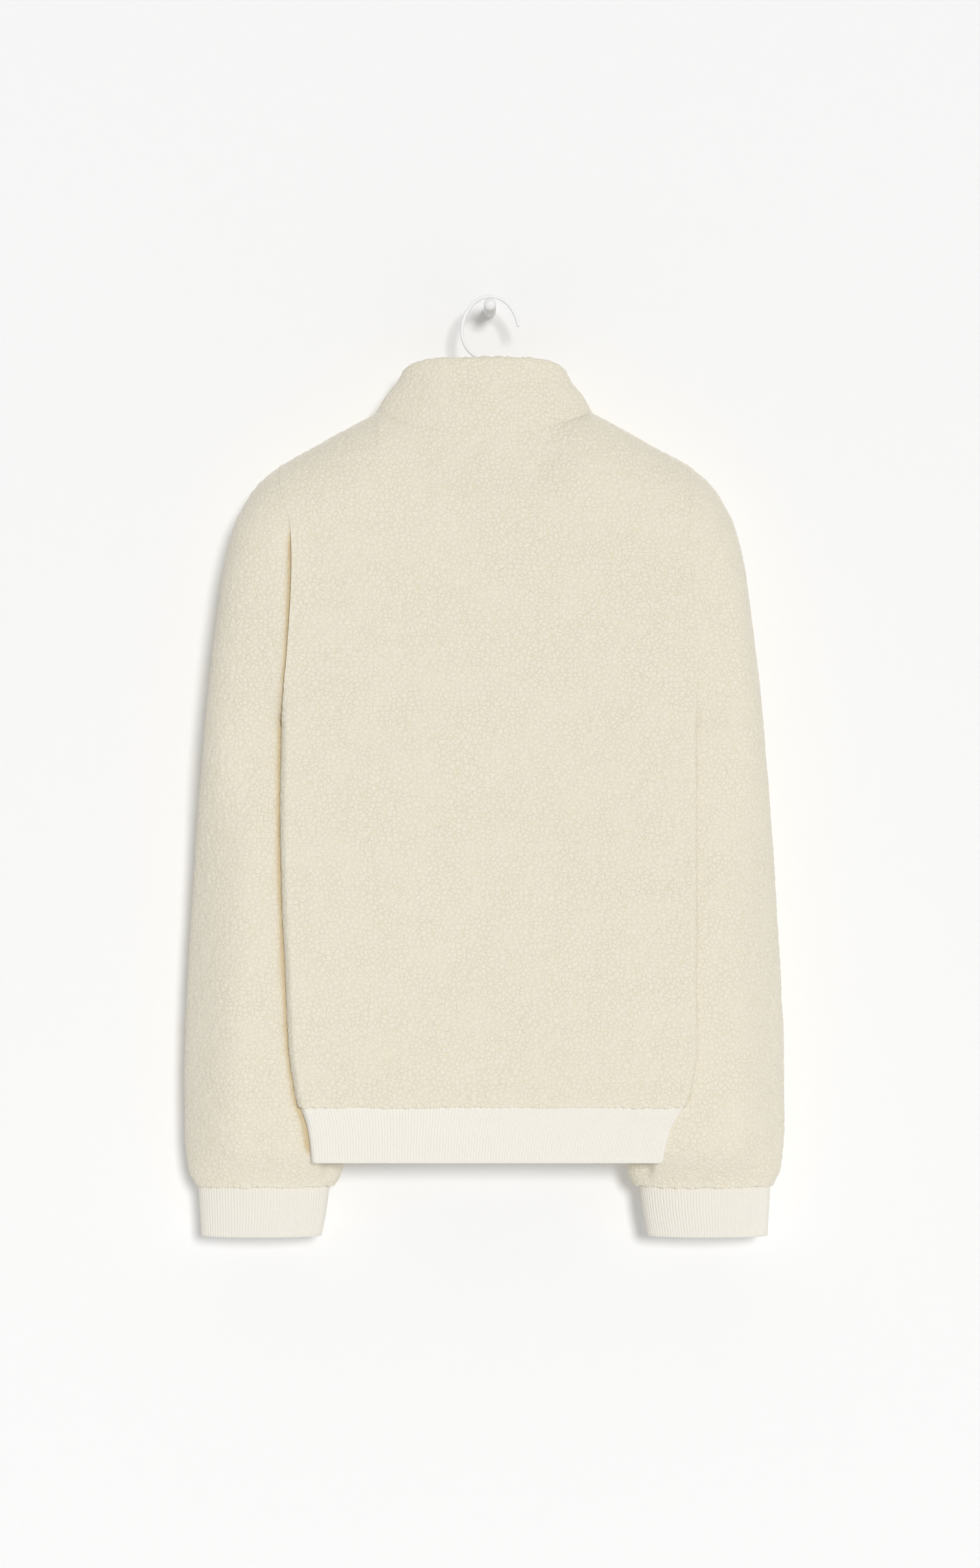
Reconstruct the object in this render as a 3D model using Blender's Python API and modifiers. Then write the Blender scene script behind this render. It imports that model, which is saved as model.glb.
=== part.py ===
"""A sherpa jacket on a hanger whose hook hangs over a peg on a wall.

Metres, +Z up. The origin is the middle of the peg's flat end, which lies against the wall
(the plane y = 0). The jacket hangs with its back towards -Y and its zip towards the wall.
Each cut piece is a wall of its own, 0.3 mm from its neighbour at the seam."""

import math

import bmesh
import bpy
import numpy as np

# Driving sizes
CENTRE_X = -0.005
GAP = 0.0003
PILE_WALL = 0.007
RIB_WALL = 0.0022
RIB_HEIGHT = 0.0009
RIB_PITCH = 0.00275

SHOULDER_TIP = (0.181, -0.1436)
NECK_SIDE = (0.0957, -0.0966)
SLEEVE_TIP_Z = -0.1440
NECK_BACK_Z = -0.117
NECK_FRONT_Z = -0.150
BODY_END_Z = -0.7099
HEM_END_Z = -0.7594
ARMPIT_Z = -0.3747
CUFF_TOP_Z = -0.7832
CUFF_END_Z = -0.8282

RIDGE_Y = -0.058
RIDGE_DEPTH = 0.060
NECK_HALF_DEPTH = 0.036
NECK_FRONT_Y = -0.030
SIDE_FRONT_Y = -0.029
ARMHOLE_ROUND = 0.06
FOLD_REACH = 0.016
TURN_WIDTH = 0.048
TURN_CLEARANCE = 0.050
TURN_STARTS_BELOW = 0.020
TURN_RISE = 0.080
SEAM_TURN_RISE = 0.08
SIDE_TO_RIDGE_RISE = 0.1
EVEN_COLUMNS_END = 0.020
EVEN_COLUMNS_RISE = 0.12
EDGE_TO_TIP_SHARE = 0.1
NECK_POWERS = (2.2, 1.8)
NECK_TURN_POWER = 1.15
SHOULDER_TURN_POWER = 2.0

ZIP_HALF_WIDTH = 0.0073
CHAIN_HALF_WIDTH = 0.0025
TAPE_THICKNESS = 0.0012
CHAIN_THICKNESS = 0.0022
TAPE_INSET = 0.0032

PEG_RADIUS = 0.0055
PEG_LENGTH = 0.066
WIRE_RADIUS = 0.0016
HANGER_RADIUS = 0.0045
HANGER_CLEARANCE = 0.0012
HANGER_CENTRE_Z = -0.079
HANGER_ARM_SHARES = (0.82, 0.68, 0.52, 0.36, 0.18, 0.05)
HANGER_NECK_SHARES = (0.3, 0.6, 0.85)

# The body by height: its two edges and how far the back and the front reach
BODY_COLUMNS = ("z", "left_edge", "right_edge", "back_y", "front_y")
BODY_ROWS = (
    (-0.100, 0.1810, 0.1810, -0.100, -0.030),
    (-0.150, 0.1800, 0.1815, -0.102, -0.029),
    (-0.190, 0.1752, 0.1805, -0.104, -0.028),
    (-0.225, 0.1727, 0.1813, -0.105, -0.027),
    (-0.260, 0.1727, 0.1830, -0.106, -0.026),
    (-0.305, 0.1745, 0.1850, -0.107, -0.026),
    (-0.375, 0.1780, 0.1862, -0.109, -0.025),
    (-0.430, 0.1792, 0.1866, -0.110, -0.025),
    (-0.480, 0.1790, 0.1866, -0.111, -0.025),
    (-0.600, 0.1745, 0.1862, -0.113, -0.025),
    (-0.680, 0.1690, 0.1845, -0.113, -0.025),
    (-0.7099, 0.1635, 0.1770, -0.112, -0.025),
    (-0.7250, 0.1585, 0.1680, -0.109, -0.027),
    (-0.7594, 0.1535, 0.1585, -0.107, -0.029),
)

# The body's side by height: where its seam lies in depth, and the wall side of the flap
SIDE_COLUMNS = ("z", "seam_y", "flap_y")
SIDE_ROWS = (
    (-0.360, -0.0780, -0.0520),
    (-0.375, -0.0785, -0.0530),
    (-0.405, -0.0860, -0.0640),
    (-0.435, -0.0940, -0.0785),
    (-0.460, -0.0982, -0.0863),
    (-0.500, -0.0985, -0.0868),
    (-0.760, -0.0985, -0.0868),
)

# A sleeve by height: its edges and its depth, from just under the armpit to the cuff seam
SLEEVE_COLUMNS = ("z", "left_inner", "right_inner", "outer", "back_y", "front_y")
SLEEVE_ROWS = (
    (-0.412, 0.1825, 0.1890, 0.2503, -0.098, -0.022),
    (-0.440, 0.1785, 0.1850, 0.2530, -0.092, -0.020),
    (-0.470, 0.1680, 0.1720, 0.2555, -0.0850, -0.018),
    (-0.500, 0.1560, 0.1570, 0.2575, -0.0838, -0.017),
    (-0.540, 0.1430, 0.1430, 0.2600, -0.0835, -0.016),
    (-0.620, 0.1310, 0.1310, 0.2645, -0.0835, -0.014),
    (-0.700, 0.1270, 0.1270, 0.2665, -0.0830, -0.013),
    (-0.750, 0.1260, 0.1260, 0.2655, -0.0815, -0.014),
    (-0.775, 0.1290, 0.1290, 0.2610, -0.0800, -0.016),
    (-0.7832, 0.1335, 0.1335, 0.2565, -0.0780, -0.018),
)

# The outline over the top of a sleeve, from the shoulder seam's end downwards
CAP_ROWS = (
    (0.1813, -0.1440),
    (0.1957, -0.1551),
    (0.2038, -0.1637),
    (0.2095, -0.1724),
    (0.2144, -0.1810),
    (0.2190, -0.1897),
    (0.2245, -0.2070),
    (0.2288, -0.2243),
    (0.2329, -0.2473),
    (0.2375, -0.2819),
    (0.2438, -0.3338),
    (0.2480, -0.3800),
    (0.2503, -0.4120),
)

# A cuff by height
CUFF_COLUMNS = ("z", "inner", "outer", "back_y", "front_y")
CUFF_ROWS = (
    (-0.7835, 0.1380, 0.2548, -0.0745, -0.0215),
    (-0.8050, 0.1405, 0.2535, -0.0735, -0.0225),
    (-0.8282, 0.1450, 0.2522, -0.0715, -0.0245),
)

# The collar by share of its height
COLLAR_COLUMNS = ("share", "half_width", "half_depth")
COLLAR_ROWS = (
    (0.00, 0.0957, 0.0360),
    (0.35, 0.0880, 0.0340),
    (0.70, 0.0765, 0.0310),
    (0.90, 0.0722, 0.0295),
    (1.00, 0.0690, 0.0285),
)
COLLAR_TOP_Z = -0.0484
COLLAR_CORNER_DROP = 0.007
COLLAR_CORNER_POWER = 8
COLLAR_LEAN_SHARE = 0.3
COLLAR_FRONT_DROP = 0.008

CREAM = (0.79, 0.73, 0.60)
RIB_CREAM = (0.84, 0.80, 0.70)
TAPE_CREAM = (0.80, 0.76, 0.66)
WHITE = (0.88, 0.88, 0.87)
STEEL = (0.62, 0.62, 0.60)


# Tables and small formulas
def column(rows, names, wanted, at):
    """A table's column read at some value of its first column, as a smooth curve through the rows."""
    table = np.array(rows)
    keys = table[:, 0]
    values = table[:, names.index(wanted)]
    if keys[0] > keys[-1]:
        keys = keys[::-1]
        values = values[::-1]
    slopes = np.gradient(values, keys)
    at = np.clip(np.asarray(at, float), keys[0], keys[-1])
    cell = np.clip(np.searchsorted(keys, at) - 1, 0, len(keys) - 2)
    width = keys[cell + 1] - keys[cell]
    t = (at - keys[cell]) / width
    start = (1 + 2 * t) * (1 - t) ** 2 * values[cell] + t * (1 - t) ** 2 * width * slopes[cell]
    end = t * t * (3 - 2 * t) * values[cell + 1] + t * t * (t - 1) * width * slopes[cell + 1]
    return start + end


def smooth_step(t):
    t = np.clip(t, 0, 1)
    return t * t * (3 - 2 * t)


def quarter_round(t, power=2.0):
    """0 at 0, rising steeply, and level at 1, like a quarter of an ellipse."""
    return (1 - (1 - np.clip(t, 0, 1)) ** power) ** (1 / power)


def side_word(side):
    return "right" if side > 0 else "left"


def body(wanted, z):
    return column(BODY_ROWS, BODY_COLUMNS, wanted, z)


def side_line(wanted, z):
    return column(SIDE_ROWS, SIDE_COLUMNS, wanted, z)


def sleeve(wanted, z):
    return column(SLEEVE_ROWS, SLEEVE_COLUMNS, wanted, z)


def half_width(z, side):
    return body(side_word(side) + "_edge", z)


def sleeve_inner(z, side):
    return sleeve(side_word(side) + "_inner", z)


# The body's surface: depth at a place, for the back and for the front
def fold_share(z):
    """1 below the armpit, where the side is a fold, and 0 well above it, where the armhole is."""
    return 1 - quarter_round((z - ARMPIT_Z) / ARMHOLE_ROUND)


def side_fold(y, across, half, z):
    """Rounds the last FOLD_REACH of the width over to the side seam."""
    fold = fold_share(z)
    seam_y = side_line("seam_y", z)
    reach = np.clip(1 - (1 - np.abs(across)) * half / FOLD_REACH, 0, 1)
    folded = seam_y + (y - seam_y) * np.sqrt(1 - reach**2)
    return (1 - fold) * y + fold * folded


def back_depth(across, z, side):
    return side_fold(body("back_y", z), across, half_width(z, side), z)


def front_depth(across, z, side):
    """The front lies flat, turns in beside the sleeve and ends as the thin flap over the sleeve."""
    half = half_width(z, side)
    above = smooth_step((z - ARMPIT_Z + TURN_STARTS_BELOW) / TURN_RISE)
    turn = np.minimum(sleeve_inner(z, side), half) - TURN_CLEARANCE
    flap_y = side_line("flap_y", z)
    edge_y = flap_y + (SIDE_FRONT_Y - flap_y) * above
    level = body("front_y", z)
    share = (1 - np.cos(np.pi * np.clip((np.abs(across) * half - turn) / TURN_WIDTH, 0, 1))) / 2
    return side_fold(level + (edge_y - level) * share, across, half, z)


def neck_height(across_neck, front):
    low = NECK_FRONT_Z if front else NECK_BACK_Z
    return low + (NECK_SIDE[1] - low) * np.abs(across_neck) ** NECK_POWERS[front]


def neck_depth(across_neck, front):
    reach = np.sqrt(np.clip(1 - across_neck**2, 0, 1))
    if front:
        return RIDGE_Y + (NECK_FRONT_Y - RIDGE_Y) * reach
    return RIDGE_Y - NECK_HALF_DEPTH * reach


# Meshes from grids
def make_object(name, vertices, faces, colour, roughness=0.9, metallic=0.0):
    mesh = bpy.data.meshes.new(name)
    mesh.from_pydata([tuple(v) for v in vertices], [], [tuple(f) for f in faces])
    grown = bmesh.new()
    grown.from_mesh(mesh)
    bmesh.ops.recalc_face_normals(grown, faces=grown.faces)
    if grown.calc_volume(signed=True) < 0:
        bmesh.ops.reverse_faces(grown, faces=grown.faces)
    grown.to_mesh(mesh)
    grown.free()
    mesh.shade_smooth()
    mesh.set_sharp_from_angle(angle=math.radians(50))
    obj = bpy.data.objects.new(name, mesh)
    return dress(obj, colour, roughness, metallic)


def dress(obj, colour, roughness=0.9, metallic=0.0):
    material = bpy.data.materials.new(obj.name)
    material.use_nodes = True
    shader = material.node_tree.nodes["Principled BSDF"]
    shader.inputs["Base Color"].default_value = (*colour, 1)
    shader.inputs["Roughness"].default_value = roughness
    shader.inputs["Metallic"].default_value = metallic
    obj.data.materials.clear()
    obj.data.materials.append(material)
    if obj.name not in jacket.objects:
        jacket.objects.link(obj)
    return obj


def grid_normals(grid, wrap):
    """Unit normals of a grid of points, pointing to the side of the cross product of column and row steps."""
    if wrap:
        along = np.roll(grid, -1, axis=1) - np.roll(grid, 1, axis=1)
    else:
        along = np.gradient(grid, axis=1)
    up = np.gradient(grid, axis=0)
    normals = np.cross(along, up)
    return normals / np.maximum(np.linalg.norm(normals, axis=2, keepdims=True), 1e-12)


def quads(first, second):
    """Quads between two rows of point numbers."""
    return [(first[i], first[i + 1], second[i + 1], second[i]) for i in range(len(first) - 1)]


def wall_solid(name, outer, inner, wrap, colour, roughness=0.9):
    """A closed wall between two grids of the same size. A wrapped one is a tube, an open one a panel."""
    rows, columns = outer.shape[:2]
    outside = np.arange(rows * columns).reshape(rows, columns)
    inside = outside + rows * columns
    if wrap:
        outside = np.hstack([outside, outside[:, :1]])
        inside = np.hstack([inside, inside[:, :1]])
    faces = []
    for row in range(rows - 1):
        faces += quads(outside[row], outside[row + 1])
        faces += quads(inside[row + 1], inside[row])
    faces += quads(inside[0], outside[0])
    faces += quads(outside[-1], inside[-1])
    if not wrap:
        faces += quads(outside[:, 0], inside[:, 0])
        faces += quads(inside[:, -1], outside[:, -1])
    vertices = np.concatenate([outer.reshape(-1, 3), inner.reshape(-1, 3)])
    return make_object(name, vertices, faces, colour, roughness)


def mirrored_x(points, side):
    """Moves points given to the right of the centre line to their side of it."""
    placed = points.copy()
    placed[..., 0] = CENTRE_X + side * points[..., 0]
    return placed


# The back and the two fronts
ROWS_BELOW_ARMPIT = 10
ROWS_ABOVE_ARMPIT = 6
LEAST_INNER_SHARE = 0.35
ROUND_ANGLES = (90, 70, 52, 36, 21, 9, 0)
NECK_ACROSS = (0, 0.17, 0.33, 0.43, 0.49, NECK_SIDE[0] / SHOULDER_TIP[0])
SIDE_ACROSS = (0.60, 0.70, 0.79, 0.86, 0.911, 0.945, 0.974, 0.993, 1)
BACK_ACROSS = NECK_ACROSS + SIDE_ACROSS
FRONT_ACROSS = NECK_ACROSS + (0.57, 0.62, 0.67, 0.72, 0.77, 0.82, 0.87, *SIDE_ACROSS[-5:])
FRONT_CLOTH_SHARES = (*np.linspace(0, 0.915, 14), 0.945, 0.970, 0.990, 1)
LINE_POINTS = 300


def height_shares():
    """Shares of the panel's height, even below and then closer where the panel turns over the shoulder."""
    height = SHOULDER_TIP[1] - BODY_END_Z
    armpit = (ARMPIT_Z - BODY_END_Z) / height
    round_part = RIDGE_DEPTH / height
    low = np.linspace(0, armpit, ROWS_BELOW_ARMPIT)[:-1]
    middle = np.linspace(armpit, 1 - round_part, ROWS_ABOVE_ARMPIT)[:-1]
    top = [1 - round_part * (1 - math.cos(math.radians(angle))) for angle in ROUND_ANGLES]
    return np.concatenate([low, middle, top])


def panel_top(across, front):
    """Height and depth of a panel's upper edge, and how fully it turns over there."""
    x = np.abs(across) * SHOULDER_TIP[0]
    slope = (SHOULDER_TIP[1] - NECK_SIDE[1]) / (SHOULDER_TIP[0] - NECK_SIDE[0])
    shoulder = NECK_SIDE[1] + (x - NECK_SIDE[0]) * slope
    at_neck = np.clip(x / NECK_SIDE[0], 0, 1)
    in_neck = x < NECK_SIDE[0]
    z = np.where(in_neck, neck_height(at_neck, front), shoulder)
    y = np.where(in_neck, neck_depth(at_neck, front), RIDGE_Y)
    power = NECK_TURN_POWER + (SHOULDER_TURN_POWER - NECK_TURN_POWER) * smooth_step(2 * at_neck - 1)
    return z, y, power


def panel_points(across, front, side):
    """A panel's outer points, rows from the hem up, for one half of the body."""
    shares = height_shares()[:, None]
    top_z, top_y, power = panel_top(across, front)
    z = BODY_END_Z + (top_z - BODY_END_Z) * shares
    edge_z = BODY_END_Z + (SHOULDER_TIP[1] - BODY_END_Z) * shares
    edge = half_width(edge_z, side)
    edge = edge + (SHOULDER_TIP[0] - edge) * smooth_step((shares - 1) / EDGE_TO_TIP_SHARE + 1)
    place = across + 0 * z
    if front:
        place = front_places(across, edge_z, side)
    flat = front_depth(place, z, side) if front else back_depth(place, z, side)
    y = top_y + (flat - top_y) * quarter_round((top_z - z) / RIDGE_DEPTH, power)
    return np.stack([place * edge, y, z], axis=2)


def front_places(across, edge_z, side):
    """Columns even along the cloth near the hem, and on the shoulder line's own columns near the top."""
    fine = np.linspace(across[0], 1, LINE_POINTS)
    places = []
    for z in edge_z[:, 0]:
        half = float(half_width(z, side))
        depth = front_depth(fine, z, side)
        steps = np.hypot(np.diff(fine * half), np.diff(depth))
        length = np.insert(np.cumsum(steps), 0, 0)
        even = np.interp(FRONT_CLOTH_SHARES, length / length[-1], fine)
        top = float(smooth_step((z - ARMPIT_Z - EVEN_COLUMNS_END) / EVEN_COLUMNS_RISE))
        places.append(even + (across - even) * top)
    return np.array(places)


def seam_normals(points, normals, front):
    """Turns the normals at the side and shoulder seams into the seam's own plane, so that cut edges meet."""
    z = points[:, -1, 2]
    normals[:, -1, 0] *= 1 - smooth_step((z - ARMPIT_Z) / SEAM_TURN_RISE)
    normals[z < ARMPIT_Z + GAP, -1] = (1, 0, 0)
    shoulder = np.abs(points[-1, :, 0]) >= NECK_SIDE[0] - 1e-6
    normals[-1, shoulder, 1] = 0
    normals[-4:-1, ~shoulder] = normals[-5, ~shoulder]
    normals[-1, ~shoulder] = normals[-5, ~shoulder]
    normals[0, :, 2] = 0
    normals /= np.linalg.norm(normals, axis=2, keepdims=True)
    return normals


def keep_to_own_side(outer, inner, front):
    """Stops the inner points short of the surface that the side and shoulder seams lie in."""
    z = inner[..., 2]
    seam_y = side_line("seam_y", z)
    middle = seam_y + (RIDGE_Y - seam_y) * smooth_step((z - ARMPIT_Z) / SIDE_TO_RIDGE_RISE)
    limit = middle + LEAST_INNER_SHARE * (outer[..., 1] - middle)
    inner[..., 1] = np.maximum(inner[..., 1], limit) if front else np.minimum(inner[..., 1], limit)
    return inner


def panel_half(front, side):
    """Outer and inner grids of one half, written to the right of the centre line."""
    if front:
        start = ZIP_HALF_WIDTH / SHOULDER_TIP[0]
        across = np.array([start, *FRONT_ACROSS[1:]])
    else:
        across = np.array(BACK_ACROSS, float)
    outer = panel_points(across, front, side)
    if front:
        outer[:, 0, 0] = ZIP_HALF_WIDTH
    normals = grid_normals(outer, wrap=False)
    normals *= np.sign(np.median(normals[2:8, 2:6, 1])) * (1 if front else -1)
    if not front:
        normals[:, 0, 0] = 0
    normals = seam_normals(outer, normals, front)
    outer = outer + np.array([0, GAP / 2 if front else -GAP / 2, 0])
    return outer, keep_to_own_side(outer, outer - PILE_WALL * normals, front)


def make_back():
    right_outer, right_inner = panel_half(False, 1)
    left_outer, left_inner = panel_half(False, -1)
    grids = []
    for left, right in ((left_outer, right_outer), (left_inner, right_inner)):
        grids.append(np.hstack([mirrored_x(left, -1)[:, :0:-1], mirrored_x(right, 1)]))
    wall_solid("back", grids[0], grids[1], False, CREAM)


def make_front(name, side):
    outer, inner = panel_half(True, side)
    inner[:, 0, 0] = ZIP_HALF_WIDTH
    wall_solid(name, mirrored_x(outer, side), mirrored_x(inner, side), False, CREAM)


# The sleeves
RING_POINTS = 22
CAP_RINGS = 7
SLEEVE_RINGS = (-0.432, -0.450, -0.468, -0.49, -0.53, -0.58, -0.64, -0.69, -0.73, -0.757, -0.775, -0.7832)
OVAL_POWER = 2.4
CAP_SPACING_POWER = 1.15
ARMHOLE_TIP_DROP = 0.001
ARMHOLE_TO_TIP_RISE = 0.06
ARMHOLE_GAP = 1.6 * GAP


def oval(share, inner, outer, back_y, front_y):
    """One point of a flattened ring. Share 0 is the inner edge, 0.5 the outer one, by way of the back."""
    angle = 2 * np.pi * share
    middle = (back_y + front_y) / 2
    half = (front_y - back_y) / 2
    reach = np.abs(np.sin(angle)) ** (2 / OVAL_POWER) * np.sign(np.sin(angle))
    return inner + (outer - inner) * (1 - np.cos(angle)) / 2, middle - half * reach


def sleeve_oval(share, z, side):
    """A level ring of the sleeve."""
    sizes = [float(sleeve_inner(z, side)), *(float(sleeve(name, z)) for name in SLEEVE_COLUMNS[3:])]
    x, y = oval(share, *sizes)
    return np.stack([x, y, z + 0 * x], axis=-1)


def armhole_ring(share, side):
    """The armhole seam: from the armpit up the back to the shoulder, and down the front."""
    angle = 2 * np.pi * share
    z = ARMPIT_Z + (SLEEVE_TIP_Z - ARMPIT_Z) * (1 - np.cos(angle)) / 2
    on_back = share <= 0.5
    flat = np.where(on_back, back_depth(1.0, z, side), front_depth(1.0, z, side))
    below_tip = SHOULDER_TIP[1] - ARMHOLE_TIP_DROP - z
    y = RIDGE_Y + (flat - RIDGE_Y) * quarter_round(below_tip / RIDGE_DEPTH)
    edge = half_width(z, side)
    edge = edge + (SHOULDER_TIP[0] - edge) * smooth_step((z - SHOULDER_TIP[1]) / ARMHOLE_TO_TIP_RISE + 1)
    return np.stack([edge + ARMHOLE_GAP, y, z], axis=-1)


def cap_outline(t):
    """The sleeve's outer edge from the shoulder to under the armpit, by share of its length."""
    rows = np.array(CAP_ROWS)
    length = np.insert(np.cumsum(np.hypot(*np.diff(rows, axis=0).T)), 0, 0)
    return np.stack([np.interp(t * length[-1], length, rows[:, i]) for i in (0, 1)], axis=-1)


def sleeve_points(side):
    share = np.arange(RING_POINTS) / RING_POINTS
    start = armhole_ring(share, side)
    low_z = SLEEVE_ROWS[0][0]
    end = sleeve_oval(share, low_z, side)
    top = RING_POINTS // 2
    bulge = ((1 - np.cos(2 * np.pi * share)) / 2)[:, None]
    rings = []
    for t in np.linspace(0, 1, CAP_RINGS) ** CAP_SPACING_POWER:
        ring = start + (end - start) * t
        outline = cap_outline(t)
        push = np.array([outline[0] - ring[top, 0], 0, outline[1] - ring[top, 2]])
        rings.append(ring + bulge * push)
    for z in SLEEVE_RINGS:
        rings.append(sleeve_oval(share, z, side))
    return np.array(rings)


def outward(outer, normals):
    """Turns normals away from the middle of their ring."""
    middle = outer.mean(axis=1, keepdims=True)
    facing = np.sign(np.median(np.sum((outer - middle) * normals, axis=2)))
    return normals * facing


def make_sleeve(name, side):
    outer = sleeve_points(side)
    normals = outward(outer, grid_normals(outer, wrap=True))
    ring = outer[0]
    along = np.roll(ring, -1, axis=0) - np.roll(ring, 1, axis=0)
    flat = np.stack([0 * along[:, 0], along[:, 2], -along[:, 1]], axis=1)
    flat *= np.sign(np.sum(flat * (ring - ring.mean(axis=0)), axis=1, keepdims=True))
    flat /= np.linalg.norm(flat, axis=1, keepdims=True)
    high = smooth_step((ring[:, 2:] - ARMPIT_Z) / SEAM_TURN_RISE)
    normals[0] = normals[0] * (1 - high) + flat * high
    normals[0] /= np.linalg.norm(normals[0], axis=1, keepdims=True)
    normals[-1, :, 2] = 0
    normals[-1] /= np.linalg.norm(normals[-1], axis=1, keepdims=True)
    inner = outer - PILE_WALL * normals
    wall_solid(name, mirrored_x(outer, side), mirrored_x(inner, side), True, CREAM)


# Rib knit: ribs raised in the outer points over a plain inside
BEND_WEIGHT = 0.4
HEM_PLAIN_POINTS = 150
CUFF_PLAIN_POINTS = 52
HEM_INSET = 0.002


def bridge(first, second, first_shares, second_shares):
    """Triangles between a plain row of point numbers and a ribbed one, matched by their shares of the way.

    The plain row steps on only at a groove, so that no triangle leaves the wall."""
    faces = []
    i = 0
    j = 0
    while i < len(first) - 1 or j < len(second) - 1:
        last_second = j == len(second) - 1
        last_first = i == len(first) - 1
        in_groove = j % 2 == 0
        ready = in_groove and not last_first
        if last_second or (ready and (first_shares[i] + first_shares[i + 1]) / 2 <= second_shares[j]):
            faces.append((first[i], first[i + 1], second[j]))
            i += 1
        else:
            faces.append((first[i], second[j + 1], second[j]))
            j += 1
    return faces


def ribbed_solid(name, outer, inner, shares, wrap, colour):
    """A wall whose outer rows have many more points than its inner rows."""
    rows = outer.shape[0]
    outside = np.arange(rows * outer.shape[1]).reshape(rows, -1)
    inside = np.arange(rows * inner.shape[1]).reshape(rows, -1) + outside.size
    if wrap:
        outside = np.hstack([outside, outside[:, :1]])
        inside = np.hstack([inside, inside[:, :1]])
    faces = []
    for row in range(rows - 1):
        faces += quads(outside[row], outside[row + 1])
        faces += quads(inside[row + 1], inside[row])
    faces += bridge(inside[0], outside[0], shares[1], shares[0])
    faces += [face[::-1] for face in bridge(inside[-1], outside[-1], shares[1], shares[0])]
    if not wrap:
        faces += quads(outside[:, 0], inside[:, 0])
        faces += quads(inside[:, -1], outside[:, -1])
    vertices = np.concatenate([outer.reshape(-1, 3), inner.reshape(-1, 3)])
    return make_object(name, vertices, faces, colour, 0.85)


def at_shares(line, moved, shares):
    """Points of a moved copy of a line, at shares of the first line's length."""
    steps = np.linalg.norm(np.diff(line, axis=0), axis=1)
    length = np.insert(np.cumsum(steps), 0, 0)
    return np.stack([np.interp(shares * length[-1], length, moved[:, i]) for i in range(3)], axis=1)


def line_normals(line, wrap):
    if wrap:
        along = np.roll(line, -1, axis=0) - np.roll(line, 1, axis=0)
    else:
        along = np.gradient(line, axis=0)
    normals = np.stack([along[:, 1], -along[:, 0], 0 * along[:, 0]], axis=1)
    return normals / np.linalg.norm(normals, axis=1, keepdims=True)


def hem_line(z):
    """The body's outline at a height, from the zip round the left side and the back to the zip."""
    parts = []
    for side in (-1, 1):
        half = float(half_width(z, side))
        fine = np.linspace(ZIP_HALF_WIDTH / half, 1, LINE_POINTS)
        front = np.stack([CENTRE_X + side * fine * half, front_depth(fine, z, side), z + 0 * fine], axis=1)
        wide = np.sin(np.linspace(math.pi / 2, 0, LINE_POINTS))
        back = np.stack([CENTRE_X + side * wide * half, back_depth(wide, z, side), z + 0 * wide], axis=1)
        line = np.concatenate([front, back[1:]])
        parts.append(line if side < 0 else line[::-1][1:])
    return np.concatenate(parts)


def bend_shares(line, count):
    """Shares of a line's length for count steps, closer together where the line bends."""
    steps = np.diff(line, axis=0)
    length = np.linalg.norm(steps, axis=1)
    heading = np.unwrap(np.arctan2(steps[:, 1], steps[:, 0]))
    turning = np.append(np.abs(np.diff(heading)), 0)
    weight = length / length.sum() + BEND_WEIGHT * turning / turning.sum()
    done = np.insert(np.cumsum(weight), 0, 0)
    along = np.insert(np.cumsum(length), 0, 0) / length.sum()
    return np.interp(np.arange(count + 1) / count * done[-1], done, along)


def rib_wall(lines, ribs, inside_points, wrap):
    """Outer points that step up and down, a rib every second one, and fewer inner points."""
    outer = []
    inner = []
    rib_shares = np.arange(2 * ribs + 1) / (2 * ribs)
    few_shares = bend_shares(lines[0], inside_points)
    for line in lines:
        count = 2 * ribs if wrap else 2 * ribs + 1
        points = at_shares(line, line, rib_shares[:count])
        normals = line_normals(points, wrap)
        raised = np.where(np.arange(count) % 2 == 1, 0.0, -RIB_HEIGHT)[:, None]
        outer.append(points + normals * raised)
        coarse = inside_points if wrap else inside_points + 1
        moved = line - line_normals(line, False) * (RIB_WALL + RIB_HEIGHT)
        inner.append(at_shares(line, moved, few_shares[:coarse]))
    return np.array(outer), np.array(inner), (rib_shares, few_shares)


def make_hem():
    lines = [hem_line(z) for z in (BODY_END_Z - GAP, HEM_END_Z)]
    for line in lines:
        line -= line_normals(line, False) * HEM_INSET
    length = np.linalg.norm(np.diff(lines[0], axis=0), axis=1).sum()
    outer, inner, shares = rib_wall(lines, int(length / RIB_PITCH), HEM_PLAIN_POINTS, False)
    for grid in (outer, inner):
        grid[:, 0, 0] = CENTRE_X - ZIP_HALF_WIDTH
        grid[:, -1, 0] = CENTRE_X + ZIP_HALF_WIDTH
    ribbed_solid("hem_rib", outer, inner, shares, False, RIB_CREAM)


def make_cuff(name, side):
    lines = []
    for z in (CUFF_TOP_Z - GAP, CUFF_END_Z):
        sizes = [float(column(CUFF_ROWS, CUFF_COLUMNS, wanted, z)) for wanted in CUFF_COLUMNS[1:]]
        x, y = oval(np.linspace(0, 1, LINE_POINTS), *sizes)
        lines.append(np.stack([x, y, z + 0 * x], axis=1))
    length = np.linalg.norm(np.diff(lines[0], axis=0), axis=1).sum()
    outer, inner, shares = rib_wall(lines, int(length / RIB_PITCH), CUFF_PLAIN_POINTS, True)
    placed = [mirrored_x(grid, side) for grid in (outer, inner)]
    ribbed_solid(name, *placed, shares, True, RIB_CREAM)


# The collar
COLLAR_SHARES = (0, 0.2, 0.4, 0.6, 0.8, 0.93, 1.0)


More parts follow.
